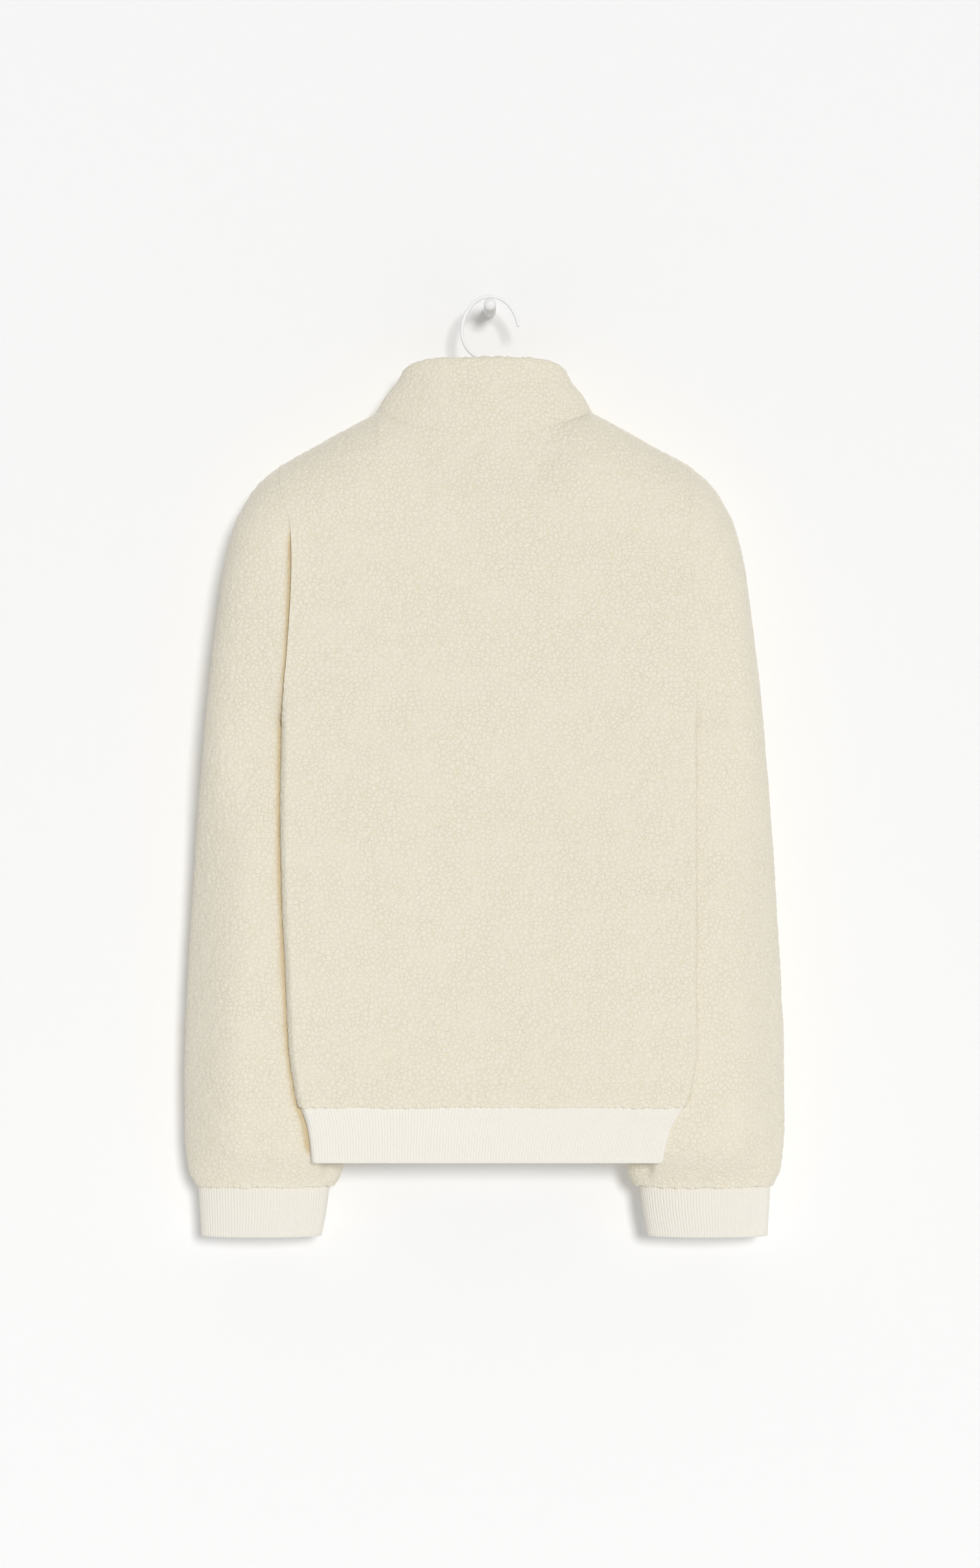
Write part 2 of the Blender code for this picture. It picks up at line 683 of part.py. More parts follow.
def collar_point(angle, share):
    """Angle 0 is the middle of the back, half a turn the zip. Share 0 is the neck seam."""
    wide = column(COLLAR_ROWS, COLLAR_COLUMNS, "half_width", share)
    deep = column(COLLAR_ROWS, COLLAR_COLUMNS, "half_depth", share)
    across = np.sin(angle)
    front = np.cos(angle) < 0
    low = np.where(front, neck_height(across, True), neck_height(across, False)) + 2 * GAP
    high = COLLAR_TOP_Z - COLLAR_CORNER_DROP * np.abs(across) ** COLLAR_CORNER_POWER
    high = high - COLLAR_FRONT_DROP * smooth_step(-np.cos(angle))
    depth = np.where(front, NECK_FRONT_Y - RIDGE_Y, deep)
    y = RIDGE_Y - depth * np.cos(angle)
    return np.stack([wide * across, y, low + (high - low) * share], axis=-1)


def make_collar():
    shares = np.array(NECK_ACROSS[1:]) * SHOULDER_TIP[0] / NECK_SIDE[0]
    quarter = np.arcsin(np.minimum(shares, 1))
    start = math.pi - math.asin(ZIP_HALF_WIDTH / NECK_SIDE[0])
    half = np.concatenate([[start], math.pi - quarter[:-1], quarter[::-1]])
    angles = np.concatenate([half, [0], -half[::-1]])
    outer = np.array([collar_point(angles, share) for share in COLLAR_SHARES])
    outer[:, 0, 0] = ZIP_HALF_WIDTH
    outer[:, -1, 0] = -ZIP_HALF_WIDTH
    normals = outward(outer, grid_normals(outer, wrap=False))
    normals[:, :, 2] *= COLLAR_LEAN_SHARE
    normals[0, :, 2] = 0
    normals[-1, :, 2] = 0
    normals /= np.linalg.norm(normals, axis=2, keepdims=True)
    inner = outer - PILE_WALL * normals
    inner[:, 0, 0] = ZIP_HALF_WIDTH
    inner[:, -1, 0] = -ZIP_HALF_WIDTH
    wall_solid("collar", mirrored_x(outer, 1), mirrored_x(inner, 1), False, CREAM)


# The zip
ZIP_END_MARGIN = 0.002
ZIP_TOP_Z = COLLAR_TOP_Z - COLLAR_FRONT_DROP - ZIP_END_MARGIN
STRIP_ROWS = 20
SLIDER_EDGE_ROUND = 0.0008
BRIDGE_POWER = 0.6
SLIDER_Z = -0.074
SLIDER_SIZE = (0.0086, 0.0030, 0.0100)
PULL_SIZE = (0.0060, 0.0012, 0.0190)
PULL_WINDOW = (0.0030, 0.0050)
PULL_BAR = 0.0012
PULL_CLEARANCE = 0.0005
BRIDGE_RADIUS = 0.0005
BRIDGE_HALF_LENGTH = 0.0030
BRIDGE_ROOT = 0.001
BRIDGE_REACH = 0.0028


def zip_surface_y(z):
    """The garment's front surface along the zip."""
    z = np.asarray(z, float)
    below_neck = (NECK_FRONT_Z - z) / RIDGE_DEPTH
    low = NECK_FRONT_Y + (body("front_y", z) - NECK_FRONT_Y) * quarter_round(below_neck, NECK_TURN_POWER)
    return np.where(z > NECK_FRONT_Z, NECK_FRONT_Y, low)


def make_zip_strip(name, x_from, x_to, surface_inset, thickness, colour):
    z = np.linspace(HEM_END_Z, ZIP_TOP_Z, STRIP_ROWS)
    y = zip_surface_y(z) - surface_inset
    outer = np.array([[(x, y[i], z[i]) for x in (x_from, x_to)] for i in range(len(z))])
    inner = outer - np.array([0, thickness, 0])
    wall_solid(name, mirrored_x(outer, 1), mirrored_x(inner, 1), False, colour, 0.7)


def make_zip():
    for name, side in (("zip_tape_left", -1), ("zip_tape_right", 1)):
        near = side * (CHAIN_HALF_WIDTH + GAP)
        far = side * (ZIP_HALF_WIDTH - GAP)
        make_zip_strip(name, near, far, TAPE_INSET, TAPE_THICKNESS, TAPE_CREAM)
    chain_inset = TAPE_INSET - (CHAIN_THICKNESS - TAPE_THICKNESS) / 2
    make_zip_strip(
        "zip_chain", -CHAIN_HALF_WIDTH, CHAIN_HALF_WIDTH, chain_inset, CHAIN_THICKNESS, TAPE_CREAM
    )


def box_object(name, size, place, colour, roughness, metallic):
    bpy.ops.mesh.primitive_cube_add(size=1, location=place)
    obj = bpy.context.object
    obj.name = name
    obj.data.name = name
    obj.scale = size
    bpy.ops.object.transform_apply(location=False, rotation=False, scale=True)
    for collection in list(obj.users_collection):
        collection.objects.unlink(obj)
    return dress(obj, colour, roughness, metallic)


def round_edges(obj, width):
    bevel = obj.modifiers.new("Rounded edges", "BEVEL")
    bevel.width = width
    bevel.segments = 2


def add_boolean(obj, other, operation):
    for collection in list(other.users_collection):
        collection.objects.unlink(other)
    cutters.objects.link(other)
    other.hide_render = True
    other.display_type = "WIRE"
    change = obj.modifiers.new(operation.title(), "BOOLEAN")
    change.operation = operation
    change.object = other


def make_slider():
    chain_face = float(zip_surface_y(SLIDER_Z)) - TAPE_INSET + (CHAIN_THICKNESS - TAPE_THICKNESS) / 2
    middle_y = chain_face + GAP + SLIDER_SIZE[1] / 2
    slider = box_object("zip_slider", SLIDER_SIZE, (CENTRE_X, middle_y, SLIDER_Z), STEEL, 0.3, 1.0)
    round_edges(slider, SLIDER_EDGE_ROUND)
    top_y = middle_y + SLIDER_SIZE[1] / 2
    points = []
    for angle in np.linspace(0, math.pi, 9):
        reach = BRIDGE_REACH * max(math.sin(angle), 0) ** BRIDGE_POWER
        if angle in (0, math.pi):
            reach = -BRIDGE_ROOT
        points.append((CENTRE_X, top_y + reach, SLIDER_Z + BRIDGE_HALF_LENGTH * math.cos(angle)))
    bridge_wire = wire_object("zip_slider_bridge", points, BRIDGE_RADIUS, STEEL, 0.3, 1.0)
    solid_bridge = curve_to_mesh(bridge_wire)
    add_boolean(slider, solid_bridge, "UNION")
    return top_y


def make_pull(slider_top_y):
    bar_y = slider_top_y + PULL_CLEARANCE + PULL_SIZE[1] / 2
    place = (CENTRE_X, bar_y, SLIDER_Z + PULL_BAR / 2 - PULL_SIZE[2] / 2)
    pull = box_object("zip_pull", PULL_SIZE, place, STEEL, 0.3, 1.0)
    window_z = SLIDER_Z - PULL_BAR / 2 - PULL_WINDOW[1] / 2
    window_size = (PULL_WINDOW[0], 3 * PULL_SIZE[1], PULL_WINDOW[1])
    window = box_object("pull_window", window_size, (CENTRE_X, bar_y, window_z), STEEL, 0.3, 1.0)
    add_boolean(pull, window, "DIFFERENCE")


# Wires, the hanger, its hook and the peg
def wire_object(name, points, radius, colour, roughness, metallic):
    curve = bpy.data.curves.new(name, "CURVE")
    curve.dimensions = "3D"
    curve.bevel_depth = radius
    curve.bevel_resolution = 2
    curve.use_fill_caps = True
    spline = curve.splines.new("POLY")
    spline.points.add(len(points) - 1)
    for point, place in zip(spline.points, points):
        point.co = (*place, 1)
    return dress(bpy.data.objects.new(name, curve), colour, roughness, metallic)


def curve_to_mesh(obj):
    bpy.context.view_layer.update()
    evaluated = obj.evaluated_get(bpy.context.evaluated_depsgraph_get())
    mesh = bpy.data.meshes.new_from_object(evaluated)
    joined = bmesh.new()
    joined.from_mesh(mesh)
    bmesh.ops.remove_doubles(joined, verts=joined.verts, dist=0.00001)
    joined.to_mesh(mesh)
    joined.free()
    name = obj.name
    matrix = obj.matrix_world.copy()
    bpy.data.objects.remove(obj, do_unlink=True)
    solid = bpy.data.objects.new(name, mesh)
    solid.matrix_world = matrix
    jacket.objects.link(solid)
    return solid


def hanger_points():
    """Arms that lie just under the shoulder seams and meet in the middle of the neck."""
    run = SHOULDER_TIP[0] - NECK_SIDE[0]
    drop = NECK_SIDE[1] - SHOULDER_TIP[1]
    slope = math.atan2(drop, run)
    under = PILE_WALL + HANGER_RADIUS + HANGER_CLEARANCE
    right = []
    for share in HANGER_ARM_SHARES:
        x = NECK_SIDE[0] + run * share - under * math.sin(slope)
        z = NECK_SIDE[1] - drop * share - under * math.cos(slope)
        right.append((x, z))
    end = right[-1]
    for share in HANGER_NECK_SHARES:
        rise = smooth_step(share)
        right.append((end[0] * (1 - share), end[1] + (HANGER_CENTRE_Z - end[1]) * float(rise)))
    left = [(-x, z) for x, z in right[::-1]]
    line = [*right, (0.0, HANGER_CENTRE_Z), *left]
    return [(CENTRE_X + x, RIDGE_Y, z) for x, z in line]


HOOK_CENTRE = (0.0003, -0.0241)
HOOK_HALF_WIDTH = 0.0252
HOOK_LOWER_HALF = 0.0255
HOOK_TIP_ANGLE = 8
HOOK_LEAVE_ANGLE = 238
HOOK_CURVE_POINTS = 27
HOOK_STEM = ((-0.0085, -0.0500), (-0.0058, -0.0545), (CENTRE_X, -0.0600))


def hook_points():
    """From the open tip over the peg, round the far side and down into the stem."""
    crown = PEG_RADIUS + GAP + WIRE_RADIUS
    upper = crown - HOOK_CENTRE[1]
    line = []
    for angle in np.radians(np.linspace(HOOK_TIP_ANGLE, HOOK_LEAVE_ANGLE, HOOK_CURVE_POINTS)):
        tall = upper if math.sin(angle) > 0 else HOOK_LOWER_HALF
        x = HOOK_CENTRE[0] + HOOK_HALF_WIDTH * math.cos(angle)
        line.append((x, HOOK_CENTRE[1] + tall * math.sin(angle)))
    bottom = HANGER_CENTRE_Z + HANGER_RADIUS + GAP
    line += [*HOOK_STEM, (CENTRE_X, bottom)]
    return [(x, RIDGE_Y, z) for x, z in line]


DOME_SHARE = 0.6
DOME_POINTS = 6
PEG_STEPS = 24


def make_peg():
    profile = []
    for angle in np.radians(np.linspace(90, 0, DOME_POINTS)):
        out = PEG_RADIUS * math.cos(angle)
        profile.append((out, PEG_LENGTH - DOME_SHARE * PEG_RADIUS * (1 - math.sin(angle))))
    profile += [(PEG_RADIUS, 0.0), (0.0, 0.0)]
    mesh = bpy.data.meshes.new("peg")
    points = [(x, 0.0, z) for x, z in profile]
    mesh.from_pydata(points, [(i, i + 1) for i in range(len(points) - 1)], [])
    peg = bpy.data.objects.new("peg", mesh)
    peg.rotation_euler = (math.pi / 2, 0, 0)
    turn = peg.modifiers.new("Turned", "SCREW")
    turn.steps = PEG_STEPS
    turn.render_steps = PEG_STEPS
    turn.use_merge_vertices = True
    turn.merge_threshold = 0.0001
    dress(peg, WHITE, 0.45)


def collection_named(name):
    made = bpy.data.collections.new(name)
    bpy.context.scene.collection.children.link(made)
    return made


for old in list(bpy.data.objects):
    bpy.data.objects.remove(old, do_unlink=True)
jacket = collection_named("Sherpa jacket on a hanger")
cutters = collection_named("Cutters")

make_back()
make_front("front_left", -1)
make_front("front_right", 1)
make_sleeve("sleeve_left", -1)
make_sleeve("sleeve_right", 1)
make_collar()
make_hem()
make_cuff("cuff_left", -1)
make_cuff("cuff_right", 1)
make_zip()
make_pull(make_slider())
wire_object("hanger", hanger_points(), HANGER_RADIUS, WHITE, 0.4, 0.0)
wire_object("hook", hook_points(), WIRE_RADIUS, WHITE, 0.3, 0.0)
make_peg()
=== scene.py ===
import itertools
import math

import bmesh
import bpy
import numpy as np
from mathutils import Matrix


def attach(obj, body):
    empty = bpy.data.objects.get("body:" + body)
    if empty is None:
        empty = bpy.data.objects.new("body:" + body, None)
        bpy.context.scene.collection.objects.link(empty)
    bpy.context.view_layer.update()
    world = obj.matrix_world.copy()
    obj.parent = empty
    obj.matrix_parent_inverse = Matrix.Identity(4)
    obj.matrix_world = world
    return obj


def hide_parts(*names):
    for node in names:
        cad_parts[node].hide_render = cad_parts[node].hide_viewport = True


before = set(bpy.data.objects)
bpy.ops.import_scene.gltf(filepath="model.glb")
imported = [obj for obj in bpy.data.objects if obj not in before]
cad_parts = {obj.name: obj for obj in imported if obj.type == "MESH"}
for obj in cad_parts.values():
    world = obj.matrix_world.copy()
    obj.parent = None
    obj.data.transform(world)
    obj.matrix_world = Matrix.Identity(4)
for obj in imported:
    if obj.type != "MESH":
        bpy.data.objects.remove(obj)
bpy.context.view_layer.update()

# Sizes of the jacket and of what it hangs on, as the solids have them, in metres
CENTRE_X = -0.005
GAP = 0.0003
PILE_WALL = 0.007
RIB_WALL = 0.0022
RIB_HEIGHT = 0.0006
RIB_PITCH = 0.00275
SHOULDER_TIP = (0.181, -0.1436)
NECK_SIDE = (0.0957, -0.0966)
SLEEVE_TIP_Z = -0.1440
NECK_BACK_Z = -0.117
NECK_FRONT_Z = -0.150
BODY_END_Z = -0.7099
HEM_END_Z = -0.7594
ARMPIT_Z = -0.3747
CUFF_TOP_Z = -0.7832
CUFF_END_Z = -0.8282
RIDGE_Y = -0.058
RIDGE_DEPTH = 0.060
NECK_HALF_DEPTH = 0.036
NECK_FRONT_Y = -0.030
SIDE_FRONT_Y = -0.029
ARMHOLE_ROUND = 0.06
FOLD_REACH = 0.0065
TURN_WIDTH = 0.048
TURN_CLEARANCE = 0.050
ZIP_HALF_WIDTH = 0.0073
TAPE_THICKNESS = 0.0012
TAPE_INSET = 0.0032
PEG_RADIUS = 0.0055
PEG_LENGTH = 0.066
WIRE_RADIUS = 0.0016
HANGER_RADIUS = 0.0045
HANGER_CLEARANCE = 0.0012
HANGER_CENTRE_Z = -0.079
HOOK_CENTRE = (0.0003, -0.0241)
HOOK_HALF_WIDTH = 0.0252
HOOK_LOWER_HALF = 0.0255

# The body at several heights, its edges as distances from CENTRE_X
BODY_COLUMNS = ("z", "left_edge", "right_edge", "back_y", "front_y")
BODY_ROWS = (
    (-0.100, 0.1810, 0.1810, -0.100, -0.030),
    (-0.150, 0.1800, 0.1815, -0.102, -0.029),
    (-0.190, 0.1715, 0.1805, -0.104, -0.028),
    (-0.225, 0.1694, 0.1813, -0.105, -0.027),
    (-0.260, 0.1702, 0.1830, -0.106, -0.026),
    (-0.305, 0.1730, 0.1850, -0.107, -0.026),
    (-0.375, 0.1780, 0.1862, -0.109, -0.025),
    (-0.430, 0.1792, 0.1866, -0.110, -0.025),
    (-0.480, 0.1790, 0.1866, -0.111, -0.025),
    (-0.600, 0.1745, 0.1862, -0.113, -0.025),
    (-0.680, 0.1690, 0.1845, -0.113, -0.025),
    (-0.7099, 0.1635, 0.1770, -0.112, -0.025),
    (-0.7250, 0.1585, 0.1680, -0.109, -0.027),
    (-0.7594, 0.1535, 0.1585, -0.107, -0.029),
)
# Depth of the side seam and of the front's flap over the sleeve
SIDE_COLUMNS = ("z", "seam_y", "flap_y")
SIDE_ROWS = (
    (-0.360, -0.0780, -0.0520),
    (-0.375, -0.0785, -0.0530),
    (-0.405, -0.0860, -0.0640),
    (-0.435, -0.0940, -0.0785),
    (-0.460, -0.0982, -0.0863),
    (-0.500, -0.0985, -0.0868),
    (-0.760, -0.0985, -0.0868),
)
# A sleeve below its cap, its edges as distances from CENTRE_X
SLEEVE_COLUMNS = ("z", "left_inner", "right_inner", "outer", "back_y", "front_y")
SLEEVE_ROWS = (
    (-0.412, 0.1825, 0.1890, 0.2503, -0.098, -0.022),
    (-0.440, 0.1785, 0.1850, 0.2530, -0.092, -0.020),
    (-0.470, 0.1680, 0.1720, 0.2555, -0.0850, -0.018),
    (-0.500, 0.1560, 0.1570, 0.2575, -0.0838, -0.017),
    (-0.540, 0.1430, 0.1430, 0.2600, -0.0835, -0.016),
    (-0.620, 0.1310, 0.1310, 0.2645, -0.0835, -0.014),
    (-0.700, 0.1270, 0.1270, 0.2665, -0.0830, -0.013),
    (-0.750, 0.1260, 0.1260, 0.2655, -0.0815, -0.014),
    (-0.775, 0.1290, 0.1290, 0.2610, -0.0800, -0.016),
    (-0.7832, 0.1335, 0.1335, 0.2565, -0.0780, -0.018),
)
# The outer edge of a sleeve's cap, as distance from CENTRE_X and height
CAP_ROWS = (
    (0.1813, -0.1440),
    (0.1957, -0.1551),
    (0.2038, -0.1637),
    (0.2095, -0.1724),
    (0.2144, -0.1810),
    (0.2190, -0.1897),
    (0.2245, -0.2070),
    (0.2288, -0.2243),
    (0.2329, -0.2473),
    (0.2375, -0.2819),
    (0.2438, -0.3338),
    (0.2480, -0.3800),
    (0.2503, -0.4120),
)
CUFF_COLUMNS = ("z", "inner", "outer", "back_y", "front_y")
CUFF_ROWS = (
    (-0.7835, 0.1380, 0.2548, -0.0745, -0.0215),
    (-0.8050, 0.1405, 0.2535, -0.0735, -0.0225),
    (-0.8282, 0.1450, 0.2522, -0.0715, -0.0245),
)
COLLAR_COLUMNS = ("share", "half_width", "half_depth")
COLLAR_ROWS = (
    (0.00, 0.0957, 0.0360),
    (0.35, 0.0880, 0.0340),
    (0.70, 0.0765, 0.0310),
    (0.90, 0.0722, 0.0295),
    (1.00, 0.0690, 0.0285),
)
COLLAR_TOP_Z = -0.0484
COLLAR_CORNER_DROP = 0.007
COLLAR_FRONT_DROP = 0.008
OVAL_POWER = 2.4


# Reading the tables
def smooth_through(keys, values, at):
    """A smooth curve through the values at the keys: cubic pieces with the table's own slopes."""
    if keys[0] > keys[-1]:
        keys = keys[::-1]
        values = values[::-1]
    slopes = np.gradient(values, keys)
    at = np.clip(np.asarray(at, float), keys[0], keys[-1])
    cell = np.clip(np.searchsorted(keys, at) - 1, 0, len(keys) - 2)
    width = keys[cell + 1] - keys[cell]
    t = (at - keys[cell]) / width
    start = (1 + 2 * t) * (1 - t) ** 2 * values[cell] + t * (1 - t) ** 2 * width * slopes[cell]
    end = t * t * (3 - 2 * t) * values[cell + 1] + t * t * (t - 1) * width * slopes[cell + 1]
    return start + end


def column(rows, names, wanted, at):
    table = np.array(rows)
    return smooth_through(table[:, 0], table[:, names.index(wanted)], at)


def smooth_step(t):
    t = np.clip(t, 0, 1)
    return t * t * (3 - 2 * t)


def quarter_round(t, power=2.0):
    """0 at 0, rising steeply, and level at 1, like a quarter of an ellipse."""
    return (1 - (1 - np.clip(t, 0, 1)) ** power) ** (1 / power)


def side_word(side):
    return "right" if side > 0 else "left"


def body(wanted, z):
    return column(BODY_ROWS, BODY_COLUMNS, wanted, z)


def side_line(wanted, z):
    return column(SIDE_ROWS, SIDE_COLUMNS, wanted, z)


def sleeve(wanted, z):
    return column(SLEEVE_ROWS, SLEEVE_COLUMNS, wanted, z)


def half_width(z, side):
    return body(side_word(side) + "_edge", z)


def placed_x(points, side):
    """Moves points given to the right of the centre line to their side of it."""
    placed = points.copy()
    placed[..., 0] = CENTRE_X + side * points[..., 0]
    return placed


# Chance that is the same each time
HASH_FACTORS = (73856093, 19349663, 83492791)
SEED_FACTOR = 40503
HASH_MIXERS = (1274126177, 668265263)
HASH_MASK = 0xFFFFFFFF
CHANCE_MASK = 0xFFFFFF


def chance(cubes, seed):
    """A number from 0 to 1 for each whole-numbered cube of space."""
    x, y, z = (cubes[..., i].astype(np.int64) * HASH_FACTORS[i] for i in range(3))
    mixed = (x ^ y ^ z ^ (seed * SEED_FACTOR)) & HASH_MASK
    mixed = ((mixed ^ (mixed >> 13)) * HASH_MIXERS[0]) & HASH_MASK
    mixed = ((mixed ^ (mixed >> 16)) * HASH_MIXERS[1]) & HASH_MASK
    return ((mixed ^ (mixed >> 15)) & CHANCE_MASK) / (CHANCE_MASK + 1)


def swell(points, size, seed):
    """Soft unevenness from -1 to 1: chance at the corners of cubes of that size, blended between."""
    place = points / size
    base = np.floor(place)
    t = smooth_step(place - base)
    total = np.zeros(points.shape[:-1])
    for corner in itertools.product((0, 1), repeat=3):
        weight = np.prod(np.where(np.array(corner) == 1, t, 1 - t), axis=-1)
        total += weight * chance(base + np.array(corner), seed)
    return 2 * total - 1


def curls(points, size, seed):
    """Distances to the nearest and second nearest of one chance point a cube, in cube sizes."""
    place = points / size
    base = np.floor(place)
    near = np.full(points.shape[:-1], np.inf)
    second = near.copy()
    for step in itertools.product((-1, 0, 1), repeat=3):
        cube = base + np.array(step)
        middle = cube + np.stack([chance(cube, seed + axis) for axis in range(3)], axis=-1)
        away = np.linalg.norm(middle - place, axis=-1)
        second = np.minimum(second, np.maximum(near, away))
        near = np.minimum(near, away)
    return near, second


# The pile: bent curls with creases between them, lower in calm patches, on a soft unevenness
CURL_SIZE = 0.0068
CURL_HEIGHT = 0.0009
CURL_SEED = 21
DOME_SHARE = 0.45
CREASE_SHARE = 0.55
CREASE_WIDTH = 0.4
BEND_SIZE = 0.008
BEND_REACH = 0.0018
BEND_SEEDS = (3, 4, 5)
CALM_SIZE = 0.045
CALM_LEAST = 0.55
CALM_GAIN = 0.45
CALM_SLOPE = 1.2
CALM_START = 0.6
CALM_SEED = 8
UNEVEN_SIZE = 0.022
UNEVEN_HEIGHT = 0.0003
UNEVEN_SEED = 9


def pile_height(points):
    """Height of the pile over the cloth."""
    bend = np.stack([swell(points, BEND_SIZE, seed) for seed in BEND_SEEDS], axis=-1)
    near, second = curls(points + BEND_REACH * bend, CURL_SIZE, CURL_SEED)
    crease = smooth_step((second - near) / CREASE_WIDTH)
    tuft = DOME_SHARE * np.clip(1 - near**2, 0, 1) + CREASE_SHARE * crease
    lively = smooth_step(swell(points, CALM_SIZE, CALM_SEED) * CALM_SLOPE + CALM_START)
    calm = CALM_LEAST + CALM_GAIN * lively
    return CURL_HEIGHT * tuft * calm + UNEVEN_HEIGHT * swell(points, UNEVEN_SIZE, UNEVEN_SEED)


# Meshes from grids
def grid_normals(grid, wrap):
    """Unit normals of a grid of points: column steps crossed with row steps."""
    along = np.roll(grid, -1, axis=1) - np.roll(grid, 1, axis=1) if wrap else np.gradient(grid, axis=1)
    normals = np.cross(along, np.gradient(grid, axis=0))
    return normals / np.maximum(np.linalg.norm(normals, axis=2, keepdims=True), 1e-12)


def outward(grid, normals):
    """Turns normals away from the middle of their rows."""
    middle = grid.mean(axis=1, keepdims=True)
    return normals * np.sign(np.median(np.sum((grid - middle) * normals, axis=2)))


def numbered(grid, wrap, first=0):
    """The numbers of a grid's points, its first column again at the end if it wraps."""
    numbers = first + np.arange(grid.shape[0] * grid.shape[1]).reshape(grid.shape[:2])
    return np.hstack([numbers, numbers[:, :1]]) if wrap else numbers


def cell_quads(numbers):
    """The quads of a grid of point numbers."""
    corners = (numbers[:-1, :-1], numbers[:-1, 1:], numbers[1:, 1:], numbers[1:, :-1])
    return np.stack(corners, axis=-1).reshape(-1, 4)


def lacing(fine, coarse):
    """Triangles between a row of many point numbers and one of few, each laced to the nearest."""
    nearest = np.rint(np.linspace(0, len(coarse) - 1, len(fine))).astype(int)
    laced = np.stack([fine[:-1], fine[1:], coarse[nearest[:-1]]], axis=1)
    step = np.flatnonzero(np.diff(nearest))
    filled = np.stack([fine[step + 1], coarse[nearest[step + 1]], coarse[nearest[step]]], axis=1)
    return np.concatenate([laced, filled])


SHARP_ANGLE = math.radians(70)


def add_object(name, data):
    thing = bpy.data.objects.new(name, data)
    bpy.context.scene.collection.objects.link(thing)
    return thing


def make_mesh(name, points, quads, triangles=(), pile=None):
    mesh = bpy.data.meshes.new(name)
    faces = np.asarray(quads).tolist() + np.asarray(triangles).tolist()
    mesh.from_pydata(points.tolist(), [], faces)
    turned = bmesh.new()
    turned.from_mesh(mesh)
    bmesh.ops.recalc_face_normals(turned, faces=turned.faces)
    if turned.calc_volume(signed=True) < 0:
        bmesh.ops.reverse_faces(turned, faces=turned.faces)
    turned.to_mesh(mesh)
    turned.free()
    if pile is not None:
        # The pile attribute: the pile's height, lowered in the groove beside the body's edge, where the
        # sherpa paints a tan shade
        layer = mesh.attributes.new("pile", "FLOAT", "POINT")
        layer.data.foreach_set("value", np.asarray(pile, np.float32))
    mesh.shade_smooth()
    mesh.set_sharp_from_angle(angle=SHARP_ANGLE)
    return add_object(name, mesh)


def finish_piece(piece, material, node):
    piece.data.materials.append(material)
    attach(piece, "jacket")
    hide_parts(node)
    return piece


def cloth_wall(name, outer, inner, wrap, pile=None):
    """A closed wall between a fine outer grid and a coarse inner one: a tube if it wraps, or a panel."""
    outside = numbered(outer, wrap)
    inside = numbered(inner, wrap, outer[..., 0].size)
    laces = [lacing(outside[0], inside[0]), lacing(outside[-1], inside[-1])]
    if not wrap:
        laces += [lacing(outside[:, 0], inside[:, 0]), lacing(outside[:, -1], inside[:, -1])]
    points = np.concatenate([outer.reshape(-1, 3), inner.reshape(-1, 3)])
    quads = np.concatenate([cell_quads(outside), cell_quads(inside)])
    if pile is not None:
        pile = np.concatenate([pile.ravel(), np.zeros(inner[..., 0].size)])
    return make_mesh(name, points, quads, np.concatenate(laces), pile)


def some(count, every):
    """Every few of so many numbers, the last one too."""
    return np.unique(np.append(np.arange(0, count, every), count - 1))


def cloth_lengths(grid, axis):
    """Distance along the cloth from the first row or column."""
    steps = np.linalg.norm(np.diff(grid, axis=axis), axis=2)
    start = np.zeros_like(np.take(steps, [0], axis=axis))
    return np.concatenate([start, np.cumsum(steps, axis=axis)], axis=axis)


def seam_distance(grid, edges):
    """Distance along the cloth to the nearest of the named edges of its grid."""
    down = cloth_lengths(grid, 0)
    over = cloth_lengths(grid, 1)
    far = {"bottom": down, "top": down[-1:] - down, "start": over, "end": over[:, -1:] - over}
    nearest = np.full(grid.shape[:2], 1.0)
    for edge in edges:
        nearest = np.minimum(nearest, far[edge])
    return nearest


SEAM_REACH = 0.0035
SEAM_SINK = 0.0003


def raise_pile(grid, normals, edges):
    """Adds the pile along the normals. It sinks a little into the seams at the named edges."""
    height = pile_height(grid)
    near = np.exp(-((seam_distance(grid, edges) / SEAM_REACH) ** 2))
    height = height * (1 - near) - SEAM_SINK * near
    return grid + normals * height[..., None], height


LOOSE_REACH = 0.004
LOOSE_SHARE = 1.7
LOOSE_LEVEL = 0.0005


def loosen_edge(outer, height, edge, way):
    """Lets the tufts at a level edge stand unevenly past it, up or down."""
    near = np.exp(-((seam_distance(outer, (edge,)) / LOOSE_REACH) ** 2))
    outer[..., 2] += way * LOOSE_SHARE * (height - LOOSE_LEVEL) * near
    return outer


# The back and the fronts. Each rise starts at a height over the armpit and has a length
FLAP_RISE = (-0.02, 0.08)
EVEN_RISE = (0.02, 0.12)
SEAM_RISE = (0.0, 0.1)
FOLD_DEPTH = {-1: 0.0140, 1: 0.0050}
NECK_BACK_POWER = 2.2
NECK_FRONT_POWER = 1.8
NECK_TURN = 1.15
SHOULDER_TURN_GAIN = 0.85
NECK_TURN_SHARE = 0.5
SHOULDER_SHARE = 0.1
FINE_POINTS = 400
KEPT_SHARE = 0.35


def rise(z, start, length):
    """0 up to a height over the armpit, then smoothly up to 1 over the length."""
    return smooth_step((z - ARMPIT_Z - start) / length)


def fold_share(z):
    """1 below the armpit, where the side is a fold, and 0 well above it, where the armhole is."""
    return 1 - quarter_round((z - ARMPIT_Z) / ARMHOLE_ROUND)


def side_fold(y, across, half, z, seam_y):
    """Rounds the last FOLD_REACH of the width over to the side seam."""
    fold = fold_share(z)
    reach = np.clip(1 - (1 - np.abs(across)) * half / FOLD_REACH, 0, 1)
    return (1 - fold) * y + fold * (seam_y + (y - seam_y) * np.sqrt(1 - reach**2))


